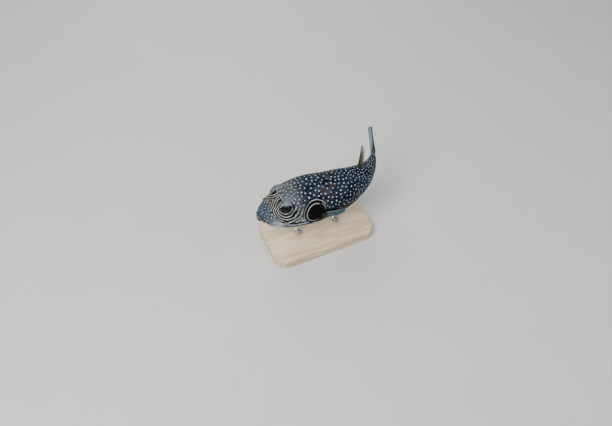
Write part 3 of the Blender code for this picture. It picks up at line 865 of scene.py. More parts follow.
def ball(name: str, segments: int, rings: int) -> Mesh:
    """A ball of radius 1 about the origin."""
    bm = bmesh.new()
    bmesh.ops.create_uvsphere(bm, u_segments=segments, v_segments=rings, radius=1.0)
    return mesh_of(bm, name)


def bevel(bm: bmesh.types.BMesh, edges: list[bmesh.types.BMEdge], offset: float, segments: int) -> None:
    """Rounds edges off."""
    bmesh.ops.bevel(
        bm, geom=edges, offset=offset, affect="EDGES", segments=segments, profile=0.5, material=-1
    )


def put_in_scene(name: str, data: Any) -> Piece:
    """Makes an object of a mesh, a light or a camera, and puts it in the scene."""
    made = bpy.data.objects.new(name, data)
    bpy.context.scene.collection.objects.link(made)
    return made


def plain_marks(mesh: Mesh, rows: Array, owner: Array) -> None:
    """Stores the skin's markings, without its spots, on a piece whose points belong to places on the fish."""
    for name, values in MARKS.at(rows).items():
        column(mesh, name, values[owner])
    column(mesh, "gum", np.zeros(len(owner)))
    column(mesh, "spot", np.full((len(owner), 3), NO_SPOT))
    column(mesh, "spot_tone", np.zeros(len(owner)))


def add_piece(
    name: str, mesh: Mesh, material: Material, nodes: Sequence[str] = ()
) -> Piece:
    """Adds a piece of the model."""
    mesh.materials.append(material)
    piece = put_in_scene(name, mesh)
    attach(piece, "root")
    if nodes:
        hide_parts(*nodes)
    LOG.info("%s: %d faces", name, len(mesh.polygons))
    return piece


@dataclass
class SkinGrid:
    """The grid of places that the skin is stretched over: rings along the body, columns round it."""

    columns: int = 280
    mouth_rings: int = 28
    body_rings: int = 296
    tail_rings: int = 6
    front: float = 3.5
    rear: float = 166.0
    lip_place: Pair = (1.8, -2.3)
    lip_half_width: float = 5.2
    lip_half_height: float = 3.7
    lip_radius: float = 1.9
    lip_corner_back: float = 0.8
    lid_cells: int = 14
    lid_blend_ends: float = 2.6
    lid_opening: float = 7.2
    brow_line: float = 3.2
    slit_place: Pair = (62.6, -6.0)
    slit_bend: float = 0.012
    slit_half_height: float = 5.0
    slit_depth: float = 1.1
    foot_place: Pair = (67.2, -7.0)
    foot_rise: float = 0.9

    def turns(self) -> Array:
        """The columns' angles round the body."""
        return np.arange(self.columns) * (math.tau / self.columns)

    def alongs(self) -> Array:
        """The body rings' places along the spine, closer on the head."""
        shares = np.linspace(0.0, 1.0, self.body_rings)
        eased = shares * (0.86 + 0.14 * shares)
        return self.front + (self.rear - self.front) * eased

    def mouth(self) -> tuple[Array, Array]:
        """The rings from inside the mouth, over the lips and into the fold behind them.

        Returns:
            Rows for each ring and column, and how dark each ring is inside the mouth.
        """
        turns = self.turns()
        sine, cosine = np.sin(turns), np.cos(turns)
        thick = self.lip_radius * (0.62 + 0.38 * cosine**2) * (1 + 0.025 * np.cos(22 * turns))
        lip_along, lip_height = self.lip_place
        line_along = lip_along + self.lip_corner_back * sine**2
        rings, dark = [], []
        for share in (0.25, 0.5, 0.75, 1.0):
            rings.append(rows_of(5.4, 3.3 * share * sine, lip_height + 1.7 * share * cosine))
            dark.append(1.0)
        angles = np.radians(np.linspace(205.0, -38.0, self.mouth_rings - 6))
        for angle in angles:
            out = thick * math.cos(angle)
            rings.append(rows_of(
                line_along - thick * math.sin(angle),
                (self.lip_half_width + out) * sine,
                lip_height + (self.lip_half_height + out) * cosine,
            ))
            dark.append(float(smooth(110.0, 165.0, math.degrees(angle))))
        rings.append(rows_of(3.15, (self.lip_half_width + 0.75) * sine, lip_height + 5.05 * cosine))
        rings.append(rows_of(3.3, (self.lip_half_width + 1.5) * sine, lip_height + 5.7 * cosine))
        return np.stack(rings), np.array(dark + [0.0, 0.0])

    def lid_outline(self, angles: Array) -> Array:
        """The lids' opening, round with a flat brow, as (back, up) at angles about its middle."""
        direction = np.stack([np.cos(angles), -np.sin(angles)], axis=-1)
        low, high = np.zeros(len(angles)), np.full(len(angles), 12.0)
        for _ in range(30):
            middle = (low + high) / 2
            at = self.lid_middle() + direction * middle[:, None]
            far_out = np.hypot(at[:, 0], at[:, 1]) - self.lid_opening
            outside = soft_max(far_out, at[:, 1] - self.brow_line, 1.6) > 0
            low, high = np.where(outside, low, middle), np.where(outside, middle, high)
        return self.lid_middle() + direction * low[:, None]

    def lid_middle(self) -> Array:
        """The middle of the lids' opening in the eye's own (back, up)."""
        return np.array([0.0, -1.6])

    def on_skin(self, wanted: Array) -> Array:
        """Finds where the skin has the wanted (back, up), as seen along the left eye's axis."""
        found = np.tile([self.eye_along(), self.eye_turn()], (len(wanted), 1))
        for _ in range(25):
            seen = FISH.eye_view(FISH.section(found[:, 0], found[:, 1]))[:, :2]
            by_along = (FISH.eye_view(FISH.section(found[:, 0] + 0.05, found[:, 1]))[:, :2] - seen) / 0.05
            by_turn = (FISH.eye_view(FISH.section(found[:, 0], found[:, 1] + 0.002))[:, :2] - seen) / 0.002
            slopes = np.stack([by_along, by_turn], axis=-1)
            step = np.linalg.solve(slopes, (wanted - seen)[..., None])[..., 0]
            found += np.clip(step, [-1.5, -0.08], [1.5, 0.08])
        return found

    def eye_along(self) -> float:
        """About where the eye is along the spine."""
        return FISH.eye_place[0] - 1.0

    def eye_turn(self) -> float:
        """About where the left eye is round the body."""
        return math.atan2(FISH.eye_place[1] + 6.4, FISH.eye_place[2] + 2.4)

    def block(self) -> tuple[Array, Array, Array, Array]:
        """The grid's square of cells about the left eye."""
        size = int(self.lid_cells * self.lid_blend_ends) + 1
        ring = int(np.argmin(np.abs(self.alongs() - self.lid_on_skin()[0])))
        col = int(round(self.lid_on_skin()[1] / math.tau * self.columns))
        down, across = np.meshgrid(np.arange(-size, size + 1), np.arange(-size, size + 1), indexing="ij")
        far = np.maximum(np.maximum(np.abs(down), np.abs(across)), 1)
        a, b = down / far, across / far
        side = np.where(a >= 1, b, np.where(b >= 1, 2 - a, np.where(a <= -1, 4 - b, 6 + a)))
        return ring + down, col + across, far / self.lid_cells, side * math.pi / 4

    def lid_on_skin(self) -> Array:
        """Where the skin lies over the middle of the lids' opening, as (along, turn)."""
        return self.on_skin(self.lid_middle()[None, :])[0]

    def body(self) -> tuple[Array, Array]:
        """The rings from behind the lips to the tail's root, drawn round the eyes' openings.

        Returns:
            Rows for each ring and column, and how far each place is outside the lids, in lid radii.
        """
        along, turn = np.meshgrid(self.alongs(), self.turns(), indexing="ij")
        rings, cols, far, angle = self.block()
        angles = np.linspace(0.0, math.tau, 8 * self.lid_cells * 4, endpoint=False)
        rim = self.on_skin(self.lid_outline(angles)) - self.lid_on_skin()
        near = (angle % math.tau) / math.tau * len(angles)
        low = np.floor(near).astype(int)
        share = (near - low)[..., None]
        towards = rim[low % len(angles)] * (1 - share) + rim[(low + 1) % len(angles)] * share
        regular = np.stack([along[rings, cols], turn[rings, cols]], axis=-1) - self.lid_on_skin()
        loose = smooth(1.0, self.lid_blend_ends, far)[..., None]
        warped = self.lid_on_skin() + towards * far[..., None] * (1 - loose) + regular * loose
        outside = np.full(along.shape, 9.0)
        mirrored = (self.columns - cols) % self.columns
        along[rings, cols], turn[rings, cols] = warped[..., 0], warped[..., 1]
        along[rings, mirrored], turn[rings, mirrored] = warped[..., 0], -warped[..., 1]
        outside[rings, cols], outside[rings, mirrored] = far, far
        rows = FISH.section(along, turn)
        rows = self.under_lids(rows, rings, cols, far, angle)
        rows[rings, mirrored] = rows[rings, cols] * [1.0, -1.0, 1.0]
        return rows, outside

    def under_lids(self, rows: Array, rings: Array, cols: Array, far: Array, angle: Array) -> Array:
        """Turns the skin in over the edge of the left eye's lids, and hides the rest inside the eyeball.

        Args:
            rows: The body's places.
            rings: The ring numbers of the block about the eye.
            cols: Its column numbers.
            far: How many lid radii out each of its places is.
            angle: Each one's angle about the opening's middle.

        Returns:
            The body's places, changed.
        """
        rim = self.lid_outline(angle.ravel()).reshape(*angle.shape, 2)
        cell = 1 / self.lid_cells
        inwards = (1 - far) / cell
        shrink = np.interp(inwards, [0.0, 1.0, 2.0, self.lid_cells], [1.0, 0.985, 0.95, 0.0])
        deeper = np.interp(inwards, [0.0, 1.0, 2.0, 3.0], [0.0, -0.05, -0.7, -1.2])
        flat = self.lid_middle() + (rim - self.lid_middle()) * shrink[..., None]
        over = np.maximum(1 - np.sum(flat**2, axis=-1) / FISH.eye_wide**2, 0.02)
        out = FISH.eye_deep * np.sqrt(over) + deeper
        hidden = FISH.from_eye_view(np.concatenate([flat, out[..., None]], axis=-1))
        chosen = far < 1 - cell / 2
        rows[rings[chosen], cols[chosen]] = hidden[chosen]
        return rows

    def tail(self) -> Array:
        """The rings that close the tail's root, inside the tail fin."""
        end = FISH.section(np.full(self.columns, self.rear), self.turns())
        middle = np.array([self.rear, 0.0, (TOP.values[-1] + BOTTOM.values[-1]) / 2])
        rings = []
        for angle in np.linspace(0.0, math.pi / 2, self.tail_rings + 2)[1:-1]:
            ring = middle + (end - middle) * math.cos(angle)
            rings.append(ring + np.array([2.2 * math.sin(angle), 0.0, 0.0]))
        return np.stack(rings)

    def relief(self, rows: Array) -> Array:
        """Presses the gill slit, the fin's fleshy foot and soft folds into the body.

        Args:
            rows: Places on the skin.

        Returns:
            How far each moves out from the spine.
        """
        along, height, side = rows[..., 0], rows[..., 2], np.abs(rows[..., 1])
        over_slit = height - self.slit_place[1]
        back = along - self.slit_place[0] + self.slit_bend * over_slit**2
        slit_away = np.hypot(back / 0.9, np.maximum(np.abs(over_slit) - self.slit_half_height, 0) / 1.5)
        foot_away = np.hypot((along - self.foot_place[0]) / 3.4, (height - self.foot_place[1]) / 6.6)
        on_side = smooth(8.0, 14.0, side)
        slit = -self.slit_depth * np.exp(-slit_away**2) * on_side
        foot = self.foot_rise * np.exp(-foot_away**2) * on_side
        folds = 0.10 * np.sin(side * 2.1 + 0.6 * np.sin(along * 0.22)) * smooth(-12.0, -22.0, height)
        swell = 0.12 * np.sin(along * 0.41 + height * 0.23) * np.sin(height * 0.37 - along * 0.19)
        return slit + foot + folds * smooth(14.0, 30.0, along) + swell * smooth(44.0, 56.0, along)


@dataclass
class Spots:
    """White spots, scattered evenly but not in rows."""

    seed: int = 11
    loosest: float = 1.12
    tightest: float = 0.84

    def scatter(self, candidates: Array, gaps: Array) -> Array:
        """Chooses places that keep their distance from each other.

        Args:
            candidates: Rows of places to choose from.
            gaps: How far from the others each has to be.

        Returns:
            The chosen candidates' numbers.
        """
        order = np.random.default_rng(self.seed).permutation(len(candidates))
        cell = float(gaps.max()) * self.loosest
        taken: dict[tuple[int, ...], list[int]] = {}
        chosen: list[int] = []
        around = [(a, b, c) for a in (-1, 0, 1) for b in (-1, 0, 1) for c in (-1, 0, 1)]
        homes = np.floor(candidates / cell).astype(int).tolist()
        places = candidates.tolist()
        for ease in (self.loosest, 1.0, self.tightest):
            for i in order.tolist():
                home = homes[i]
                gap = gaps[i] * ease
                near = (taken.get((home[0] + a, home[1] + b, home[2] + c), ()) for a, b, c in around)
                if all(math.dist(places[i], places[k]) >= gap for group in near for k in group):
                    taken.setdefault((home[0], home[1], home[2]), []).append(i)
                    chosen.append(i)
        return np.array(chosen)

    def settle(self, candidates: Array, chosen: Array, rounds: int = 2) -> Array:
        """Moves each chosen place to the middle of the area nearest to it."""
        spots = candidates[chosen]
        for _ in range(rounds):
            nearest = nearest_of(spots, candidates)
            count = np.maximum(np.bincount(nearest, minlength=len(spots)), 1)
            sums = [np.bincount(nearest, candidates[:, k], len(spots)) for k in range(3)]
            spots = candidates[nearest_of(candidates, np.stack(sums, axis=-1) / count[:, None])]
        return spots


def nearest_of(known: Array, asked: Array) -> Array:
    """For each asked place, the number of the nearest known one."""
    tree = KDTree(len(known))
    for i, place in enumerate(known.tolist()):
        tree.insert(place, i)
    tree.balance()
    return np.array([tree.find(place)[1] for place in asked.tolist()])


@dataclass
class Skin:
    """One skin over the whole fish: its flesh, its lips and the lids of its eyes."""

    grid: SkinGrid = field(default_factory=SkinGrid)
    spots: Spots = field(default_factory=Spots)
    finish: SkinFinish = SkinFinish()
    nodes: tuple[str, ...] = ("snout", "head", "trunk", "tail_stalk", "lip_upper", "lip_lower")
    rows: Array = field(default_factory=lambda: np.zeros((0, 0, 3)))
    gum: Array = field(default_factory=lambda: np.zeros((0, 0)))

    def lay_out(self) -> None:
        """Works out the place of every ring and column."""
        mouth, dark = self.grid.mouth()
        body, outside = self.grid.body()
        away = unit(body * [0.0, 1.0, 1.0])
        free = smooth(1.0, 1.6, outside)
        body = body + away * (self.grid.relief(body) * free)[..., None]
        self.rows = np.concatenate([mouth, body, self.grid.tail()])
        self.gum = np.zeros(self.rows.shape[:2])
        self.gum[: len(dark)] = dark[:, None]

    def build(self) -> Piece:
        """Makes the skin.

        Returns:
            The piece.
        """
        self.lay_out()
        rings, columns = self.rows.shape[:2]
        bm = bmesh.new()
        bmesh.ops.create_uvsphere(bm, u_segments=columns, v_segments=rings + 1, radius=1.0)
        bmesh.ops.recalc_face_normals(bm, faces=bm.faces)
        mesh = mesh_of(bm, "fish_skin")
        ring, col, pole = self.numbers(points_of(mesh))
        rows = self.rows[ring, col]
        rows[pole > 0] = [5.4, 0.0, self.grid.lip_place[1]]
        rows[pole < 0] = [self.grid.rear + 2.4, 0.0, (TOP.values[-1] + BOTTOM.values[-1]) / 2]
        move_points(mesh, FISH.place(rows))
        face_outwards(mesh)
        for name, values in MARKS.at(rows).items():
            column(mesh, name, values)
        column(mesh, "gum", self.gum[ring, col] * (pole >= 0))
        self.mark_spots(mesh, rows)
        self.unwrap(mesh, ring, col, pole)
        return add_piece("fish_skin", mesh, self.finish.material("puffer_skin"), self.nodes)

    def numbers(self, sphere: Array) -> tuple[Array, Array, Array]:
        """Reads each point's ring and column from where it was on the sphere."""
        rings, columns = self.rows.shape[:2]
        polar = np.arccos(np.clip(sphere[:, 2], -1, 1)) / math.pi * (rings + 1)
        ring = np.rint(polar).astype(int)
        col = np.rint(np.arctan2(sphere[:, 1], sphere[:, 0]) / math.tau * columns).astype(int) % columns
        pole = np.where(ring == 0, 1, np.where(ring == rings + 1, -1, 0))
        return np.clip(ring - 1, 0, rings - 1), col, pole

    def mark_spots(self, mesh: Mesh, rows: Array) -> None:
        """Stores, at each face's corners, where they are from the nearest spot's middle.

        Args:
            mesh: The skin.
            rows: Its points' places on the fish.
        """
        corner, first, count = corners_of(mesh)
        middles = np.add.reduceat(rows[corner], first, axis=0) / count[:, None]
        candidates = self.spot_places()
        chosen = self.spots.scatter(candidates, MARKS.spot_gap.at(candidates[:, 0]))
        spots = self.spots.settle(candidates, chosen)
        nearest = nearest_of(spots, middles)
        rng = np.random.default_rng(5)
        radius = MARKS.spot_radius.at(spots[:, 0]) * rng.uniform(0.84, 1.12, len(spots))
        tone = rng.uniform(0.1, 1.0, len(spots))
        owner = np.repeat(nearest, count)
        column(mesh, "spot", (rows[corner] - spots[owner]) / radius[owner][:, None], "CORNER")
        column(mesh, "spot_tone", tone[owner], "CORNER")
        LOG.info("spots: %d", len(spots))

    def spot_places(self) -> Array:
        """Where a spot may be: a shuffled third of the grid's spotted cells, the same in every run."""
        between = (self.rows[1:] + self.rows[:-1]) / 2
        cells = ((between + np.roll(between, 1, axis=1)) / 2).reshape(-1, 3)
        return np.random.default_rng(self.spots.seed).permutation(cells[MARKS.spotted(cells)])[::3]

    def unwrap(self, mesh: Mesh, ring: Array, col: Array, pole: Array) -> None:
        """Lays the skin flat, parted along the belly, as its own UV map.

        Args:
            mesh: The skin.
            ring: Its points' ring numbers.
            col: Their column numbers.
            pole: 1 or -1 at the two poles.
        """
        corner, first, count = corners_of(mesh)
        columns = self.rows.shape[1]
        cols, at_pole = col[corner], pole[corner] != 0
        cols = np.where(at_pole, -1, cols)
        face_high = np.repeat(np.maximum.reduceat(cols, first), count)
        low_source = np.where(at_pole, columns, cols)
        face_low = np.repeat(np.minimum.reduceat(low_source, first), count)
        wraps = face_high - face_low > 1
        cols = np.where(wraps & (cols == 0), columns, cols)
        face_low = np.where(wraps, face_high, face_low)
        shifted = np.where(face_low >= columns // 2, cols - columns, cols)
        across, down = self.flat_sizes()
        v = np.where(at_pole, 0.5, 0.5 + shifted / columns * across[ring[corner]])
        u = np.where(pole[corner] > 0, 0.005, np.where(pole[corner] < 0, 0.995, down[ring[corner]]))
        made = mesh.uv_layers.new(name="OFBake")
        made.data.foreach_set("uv", np.stack([u, v], axis=-1).astype(np.float32).ravel())

    def flat_sizes(self) -> tuple[Array, Array]:
        """How wide each ring is on the flat skin, as a share of it, and how far along it lies."""
        around = np.linalg.norm(np.roll(self.rows, 1, axis=1) - self.rows, axis=-1).sum(axis=1)
        apart = np.linalg.norm(np.diff(self.rows, axis=0), axis=-1).mean(axis=1)
        along = np.concatenate([[0.0], np.cumsum(apart)])
        return 0.98 * around / around.max(), 0.01 + 0.98 * along / along[-1]


def corners_of(mesh: Mesh) -> tuple[Array, Array, Array]:
    """A mesh's corners."""
    corner = np.empty(len(mesh.loops), np.int32)
    mesh.loops.foreach_get("vertex_index", corner)
    first, count = np.empty(len(mesh.polygons), np.int32), np.empty(len(mesh.polygons), np.int32)
    mesh.polygons.foreach_get("loop_start", first)
    mesh.polygons.foreach_get("loop_total", count)
    return corner, first, count


@dataclass
class Eyes:
    """The two eyeballs."""

    finish: EyeFinish = EyeFinish()
    segments: int = 72
    rings: int = 48

    def build(self) -> None:
        """Makes both eyes."""
        material = self.finish.material("eye_gloss")
        for side in Side:
            mesh = ball(f"eyeball_{side.word}", self.segments, self.rings)
            seen = points_of(mesh) * [FISH.eye_wide, FISH.eye_wide, FISH.eye_deep]
            rows = FISH.from_eye_view(seen) * [1.0, side.value, 1.0]
            move_points(mesh, FISH.place(rows))
            column(mesh, "gaze", seen)
            face_outwards(mesh)
            add_piece(f"eyeball_{side.word}", mesh, material, (f"eye_{side.word}",))


@dataclass
class Beak:
    """Two tooth plates, each with a groove down its middle and a worn cutting edge."""

    finish: BeakFinish = BeakFinish()
    middle: Triple = (4.6, 0.0, -2.3)
    sizes: Triple = (3.6, 4.6, 3.3)
    slit: float = 0.5
    edge: float = 0.35
    groove_depth: float = 0.28
    groove_width: float = 0.28
    overbite: float = 0.25

    def build(self) -> None:
        """Makes the upper and the lower plate."""
        material = self.finish.material("beak_ivory")
        for word, side in (("upper", 1), ("lower", -1)):
            bm = bmesh.new()
            bmesh.ops.create_uvsphere(bm, u_segments=96, v_segments=48, radius=1.0)
            everything = [*bm.verts, *bm.edges, *bm.faces]
            cut = Vector((0.0, 0.0, side * self.slit / self.sizes[2]))
            bmesh.ops.bisect_plane(
                bm, geom=everything, dist=1e-6, plane_co=cut, plane_no=(0.0, 0.0, side), clear_inner=True
            )
            bmesh.ops.holes_fill(bm, edges=[e for e in bm.edges if e.is_boundary])
            rim = [e for e in bm.edges if all(abs(v.co.z - cut.z) < 1e-5 for v in e.verts)]
            bevel(bm, rim, self.edge / self.sizes[0] / 2, 2)
            bmesh.ops.recalc_face_normals(bm, faces=bm.faces)
            mesh = mesh_of(bm, f"tooth_plate_{word}")
            points = points_of(mesh)
            ahead, aside, away = points[:, 0], points[:, 1], np.abs(points[:, 2])
            groove = self.groove_depth * np.exp(-((aside * self.sizes[1] / self.groove_width) ** 2))
            rows = points * self.sizes + self.middle + rows_of(groove * smooth(0.0, -0.4, ahead), 0.0, 0.0)
            rows[:, 0] -= self.overbite * smooth(0.55, 0.15, away) * smooth(0.0, -0.6, ahead)
            move_points(mesh, FISH.place(rows))
            # How much darker the plate is: more towards the gum and along the groove.
            column(mesh, "gum_and_groove_darkening", smooth(0.25, 0.7, away) + 0.5 * groove / self.groove_depth)
            face_outwards(mesh)
            add_piece(f"tooth_plate_{word}", mesh, material, (f"beak_{word}",))


@dataclass
class Nostrils:
    """A short fleshy tentacle on each side of the snout, split into two lobes."""

    root: Triple = (13.0, 9.4, 9.6)
    half_length: float = 2.9
    half_width: float = 1.75
    half_thickness: float = 0.62
    notch: float = 0.62
    notch_width: float = 0.42
    curl: float = 0.175
    points_out: Triple = (-0.1, 0.55, 0.80)
    spreads: Triple = (0.92, -0.18, 0.25)

    def build(self, material: Material) -> None:
        """Makes both tentacles.

        Args:
            material: The skin's material.
        """
        for side in Side:
            mesh = ball(f"nasal_tentacle_{side.word}", 40, 28)
            aside, round_it, upright = points_of(mesh).T
            spread = 0.55 + 0.45 * smooth(-0.6, 0.7, upright)
            dip = self.notch * np.exp(-((aside / self.notch_width) ** 2)) * smooth(-0.5, 0.9, upright)
            out = unit(np.array(self.points_out))
            across = unit(np.array(self.spreads))
            across = unit(across - out * (across @ out))
            thin = np.cross(out, across)
            bent = self.curl * (upright + 1) ** 2 * np.abs(aside)
            rows = (
                np.array(self.root)
                + out * (self.half_length * (upright - dip) + 1.0)[:, None]
                + across * (self.half_width * spread * aside)[:, None]
                + thin * (self.half_thickness * round_it - bent)[:, None]
            )
            mirrored = rows * [1.0, side.value, 1.0]
            move_points(mesh, FISH.place(mirrored))
            plain_marks(mesh, mirrored, np.arange(len(rows)))
            face_outwards(mesh)
            add_piece(f"nasal_tentacle_{side.word}", mesh, material, (f"nostril_{side.word}",))


def face_outwards(mesh: Mesh) -> None:
    """Turns a closed mesh's faces round if it is inside out."""
    bm = bmesh.new()
    bm.from_mesh(mesh)
    if bm.calc_volume(signed=True) < 0:
        bmesh.ops.reverse_faces(bm, faces=bm.faces)
    bm.to_mesh(mesh)
    bm.free()


@dataclass(frozen=True)
class FinPlan:
    """A fan of branching rays. Its vectors are (along, lateral, height) in millimetres."""

    name: str
    foot: Triple
    base: Triple
    leading: Triple
    trailing: Triple
    length: float
    shares: Triple
    bow: Triple
    thickness: Pair
    rays: int
    finish: FinFinish

    def middle(self, t: Array, reach: Array) -> Array:
        """Places on the fin's middle surface."""
        leading, mid, trailing = self.shares
        share = leading * (1 - t) * (1 - 2 * t) + 4 * mid * t * (1 - t) + trailing * t * (2 * t - 1)
        foot = np.array(self.foot) + (t - 0.5)[:, None] * np.array(self.base)
        ray = unit(np.array(self.leading) * (1 - t)[:, None] + np.array(self.trailing) * t[:, None])
        blown = np.array(self.bow) * (np.sin(math.pi * t) * reach**2)[:, None]
        return foot + ray * (self.length * share * reach)[:, None] + blown

    def ridge(self, t: Array, reach: Array) -> Array:
        """How much of a ray there is at places on the fin: rays fork once past their middle."""
        single = 0.5 + 0.5 * np.cos(math.tau * self.rays * t)
        double = 0.5 + 0.5 * np.cos(math.tau * 2 * self.rays * t)
        fork = smooth(0.45, 0.70, reach)
        return (single**2) * (1 - fork) + (double**1.5) * fork

    def build(self) -> Piece:
        """Makes the fin as one closed, thin shell.

        Returns:
            The piece.
        """
        bm = bmesh.new()
        bmesh.ops.create_grid(bm, x_segments=self.rays * 10, y_segments=52, size=0.5)
        flat = [*bm.verts, *bm.edges, *bm.faces]
        copied = bmesh.ops.duplicate(bm, geom=flat)["geom"]
        verts = [item for item in copied if isinstance(item, bmesh.types.BMVert)]
        bmesh.ops.translate(bm, verts=verts, vec=(0.0, 0.0, 1.0))
        bmesh.ops.bridge_loops(bm, edges=[e for e in bm.edges if e.is_boundary])
        bmesh.ops.recalc_face_normals(bm, faces=bm.faces)
        mesh = mesh_of(bm, self.name)
        sheet = points_of(mesh)
        t, reach = np.clip(sheet[:, :2] + 0.5, 0, 1).T
        face = sheet[:, 2] * 2 - 1
        ridge = self.ridge(t, reach)
        scallop = 1 - 0.010 * (1 - ridge) * smooth(0.85, 1.0, reach)
        points = FISH.place(self.middle(t, reach * scallop))
        step = 0.004
        by_t = FISH.place(self.middle(t + step, reach)) - FISH.place(self.middle(t - step, reach))
        by_reach = FISH.place(self.middle(t, reach + step)) - FISH.place(self.middle(t, reach - step))
        normal = unit(np.cross(by_t, by_reach))
        thick, thin = self.thickness
        half = (thin - 0.1 + (thick - thin) * (1 - reach) ** 2.5) / 2 + 0.10 * ridge * smooth(0.05, 0.2, reach)
        rounding = np.sqrt(np.clip(1 - (2 * np.abs(t - 0.5)) ** 24, 0.0, 1.0)) * 0.6 + 0.4
        wave = 0.25 * np.sin(math.tau * self.rays * t * 0.5) * reach**2
        move_points(mesh, points + normal * ((half * rounding * face + wave) * MM)[:, None])
        column(mesh, "reach", reach)
        column(mesh, "ridge", ridge)
        column(mesh, "across", t)
        sides = np.maximum(smooth(0.26, 0.10, t), 0.8 * smooth(0.90, 0.98, t))
        column(mesh, "side_edge", np.maximum(sides, smooth(0.94, 0.99, reach) * 0.8))
        face_outwards(mesh)
        film = self.finish.material(f"{self.name}_film")
        return add_piece(f"{self.name}_rays", mesh, film, (self.name,))


DORSAL_FINISH = FinFinish(
    foot=paint(44, 48, 34), ray=paint(104, 106, 88), membrane=paint(150, 152, 144), edge=paint(34, 38, 26),
    foot_ends=0.14, clearness=0.70, edge_strength=0.6, lead_ends=0.62,
)
PECTORAL_FINISH = FinFinish(
    foot=paint(8, 10, 13), ray=paint(86, 110, 117), membrane=paint(54, 77, 85), edge=paint(26, 42, 49),
    foot_ends=0.24, clearness=0.18,
)
TAIL_FINISH = FinFinish(
    foot=paint(62, 72, 80), ray=paint(92, 104, 112), membrane=paint(122, 139, 151), edge=paint(30, 38, 29),
    foot_ends=0.24, clearness=0.22, edge_strength=0.85,
)
FINS = (
    FinPlan("dorsal_fin", (129.8, -1.4, 16.2), (8.5, 0.0, -2.6), (0.40, -0.20, 0.90), (0.67, -0.31, 0.71),
            25.5, (1.0, 1.0, 0.76), (0.0, -1.2, 0.0), (2.6, 0.6), 11, DORSAL_FINISH),
    FinPlan("anal_fin", (131.5, 0.0, -11.5), (9.0, 0.0, 3.8), (0.44, -0.16, -0.88), (0.74, -0.10, -0.66),
            24.0, (0.92, 1.0, 0.76), (0.0, -1.6, 0.0), (2.6, 0.6), 11, DORSAL_FINISH),
    FinPlan("caudal_fin", (165.4, 0.1, 4.8), (0.0, -1.4, -14.0), (0.959, 0.064, 0.271), (0.941, 0.018, 0.322),
            35.0, (0.95, 1.10, 1.21), (0.0, 0.6, 0.0), (4.6, 0.6), 10, TAIL_FINISH),
    FinPlan("pectoral_fin_left", (68.5, 24.0, -6.8), (0.5, -2.0, -11.0), (0.96, 0.24, 0.13), (0.94, -0.07, -0.27),
            26.0, (0.98, 0.97, 0.76), (0.0, 1.2, 0.0), (4.0, 0.6), 17, PECTORAL_FINISH),
    FinPlan("pectoral_fin_right", (68.5, -24.0, -6.8), (0.5, 2.0, -11.0), (0.95, -0.18, 0.10), (0.92, -0.06, -0.34),
            26.0, (0.98, 0.97, 0.76), (0.0, -1.6, 0.0), (4.0, 0.6), 17, PECTORAL_FINISH),
)


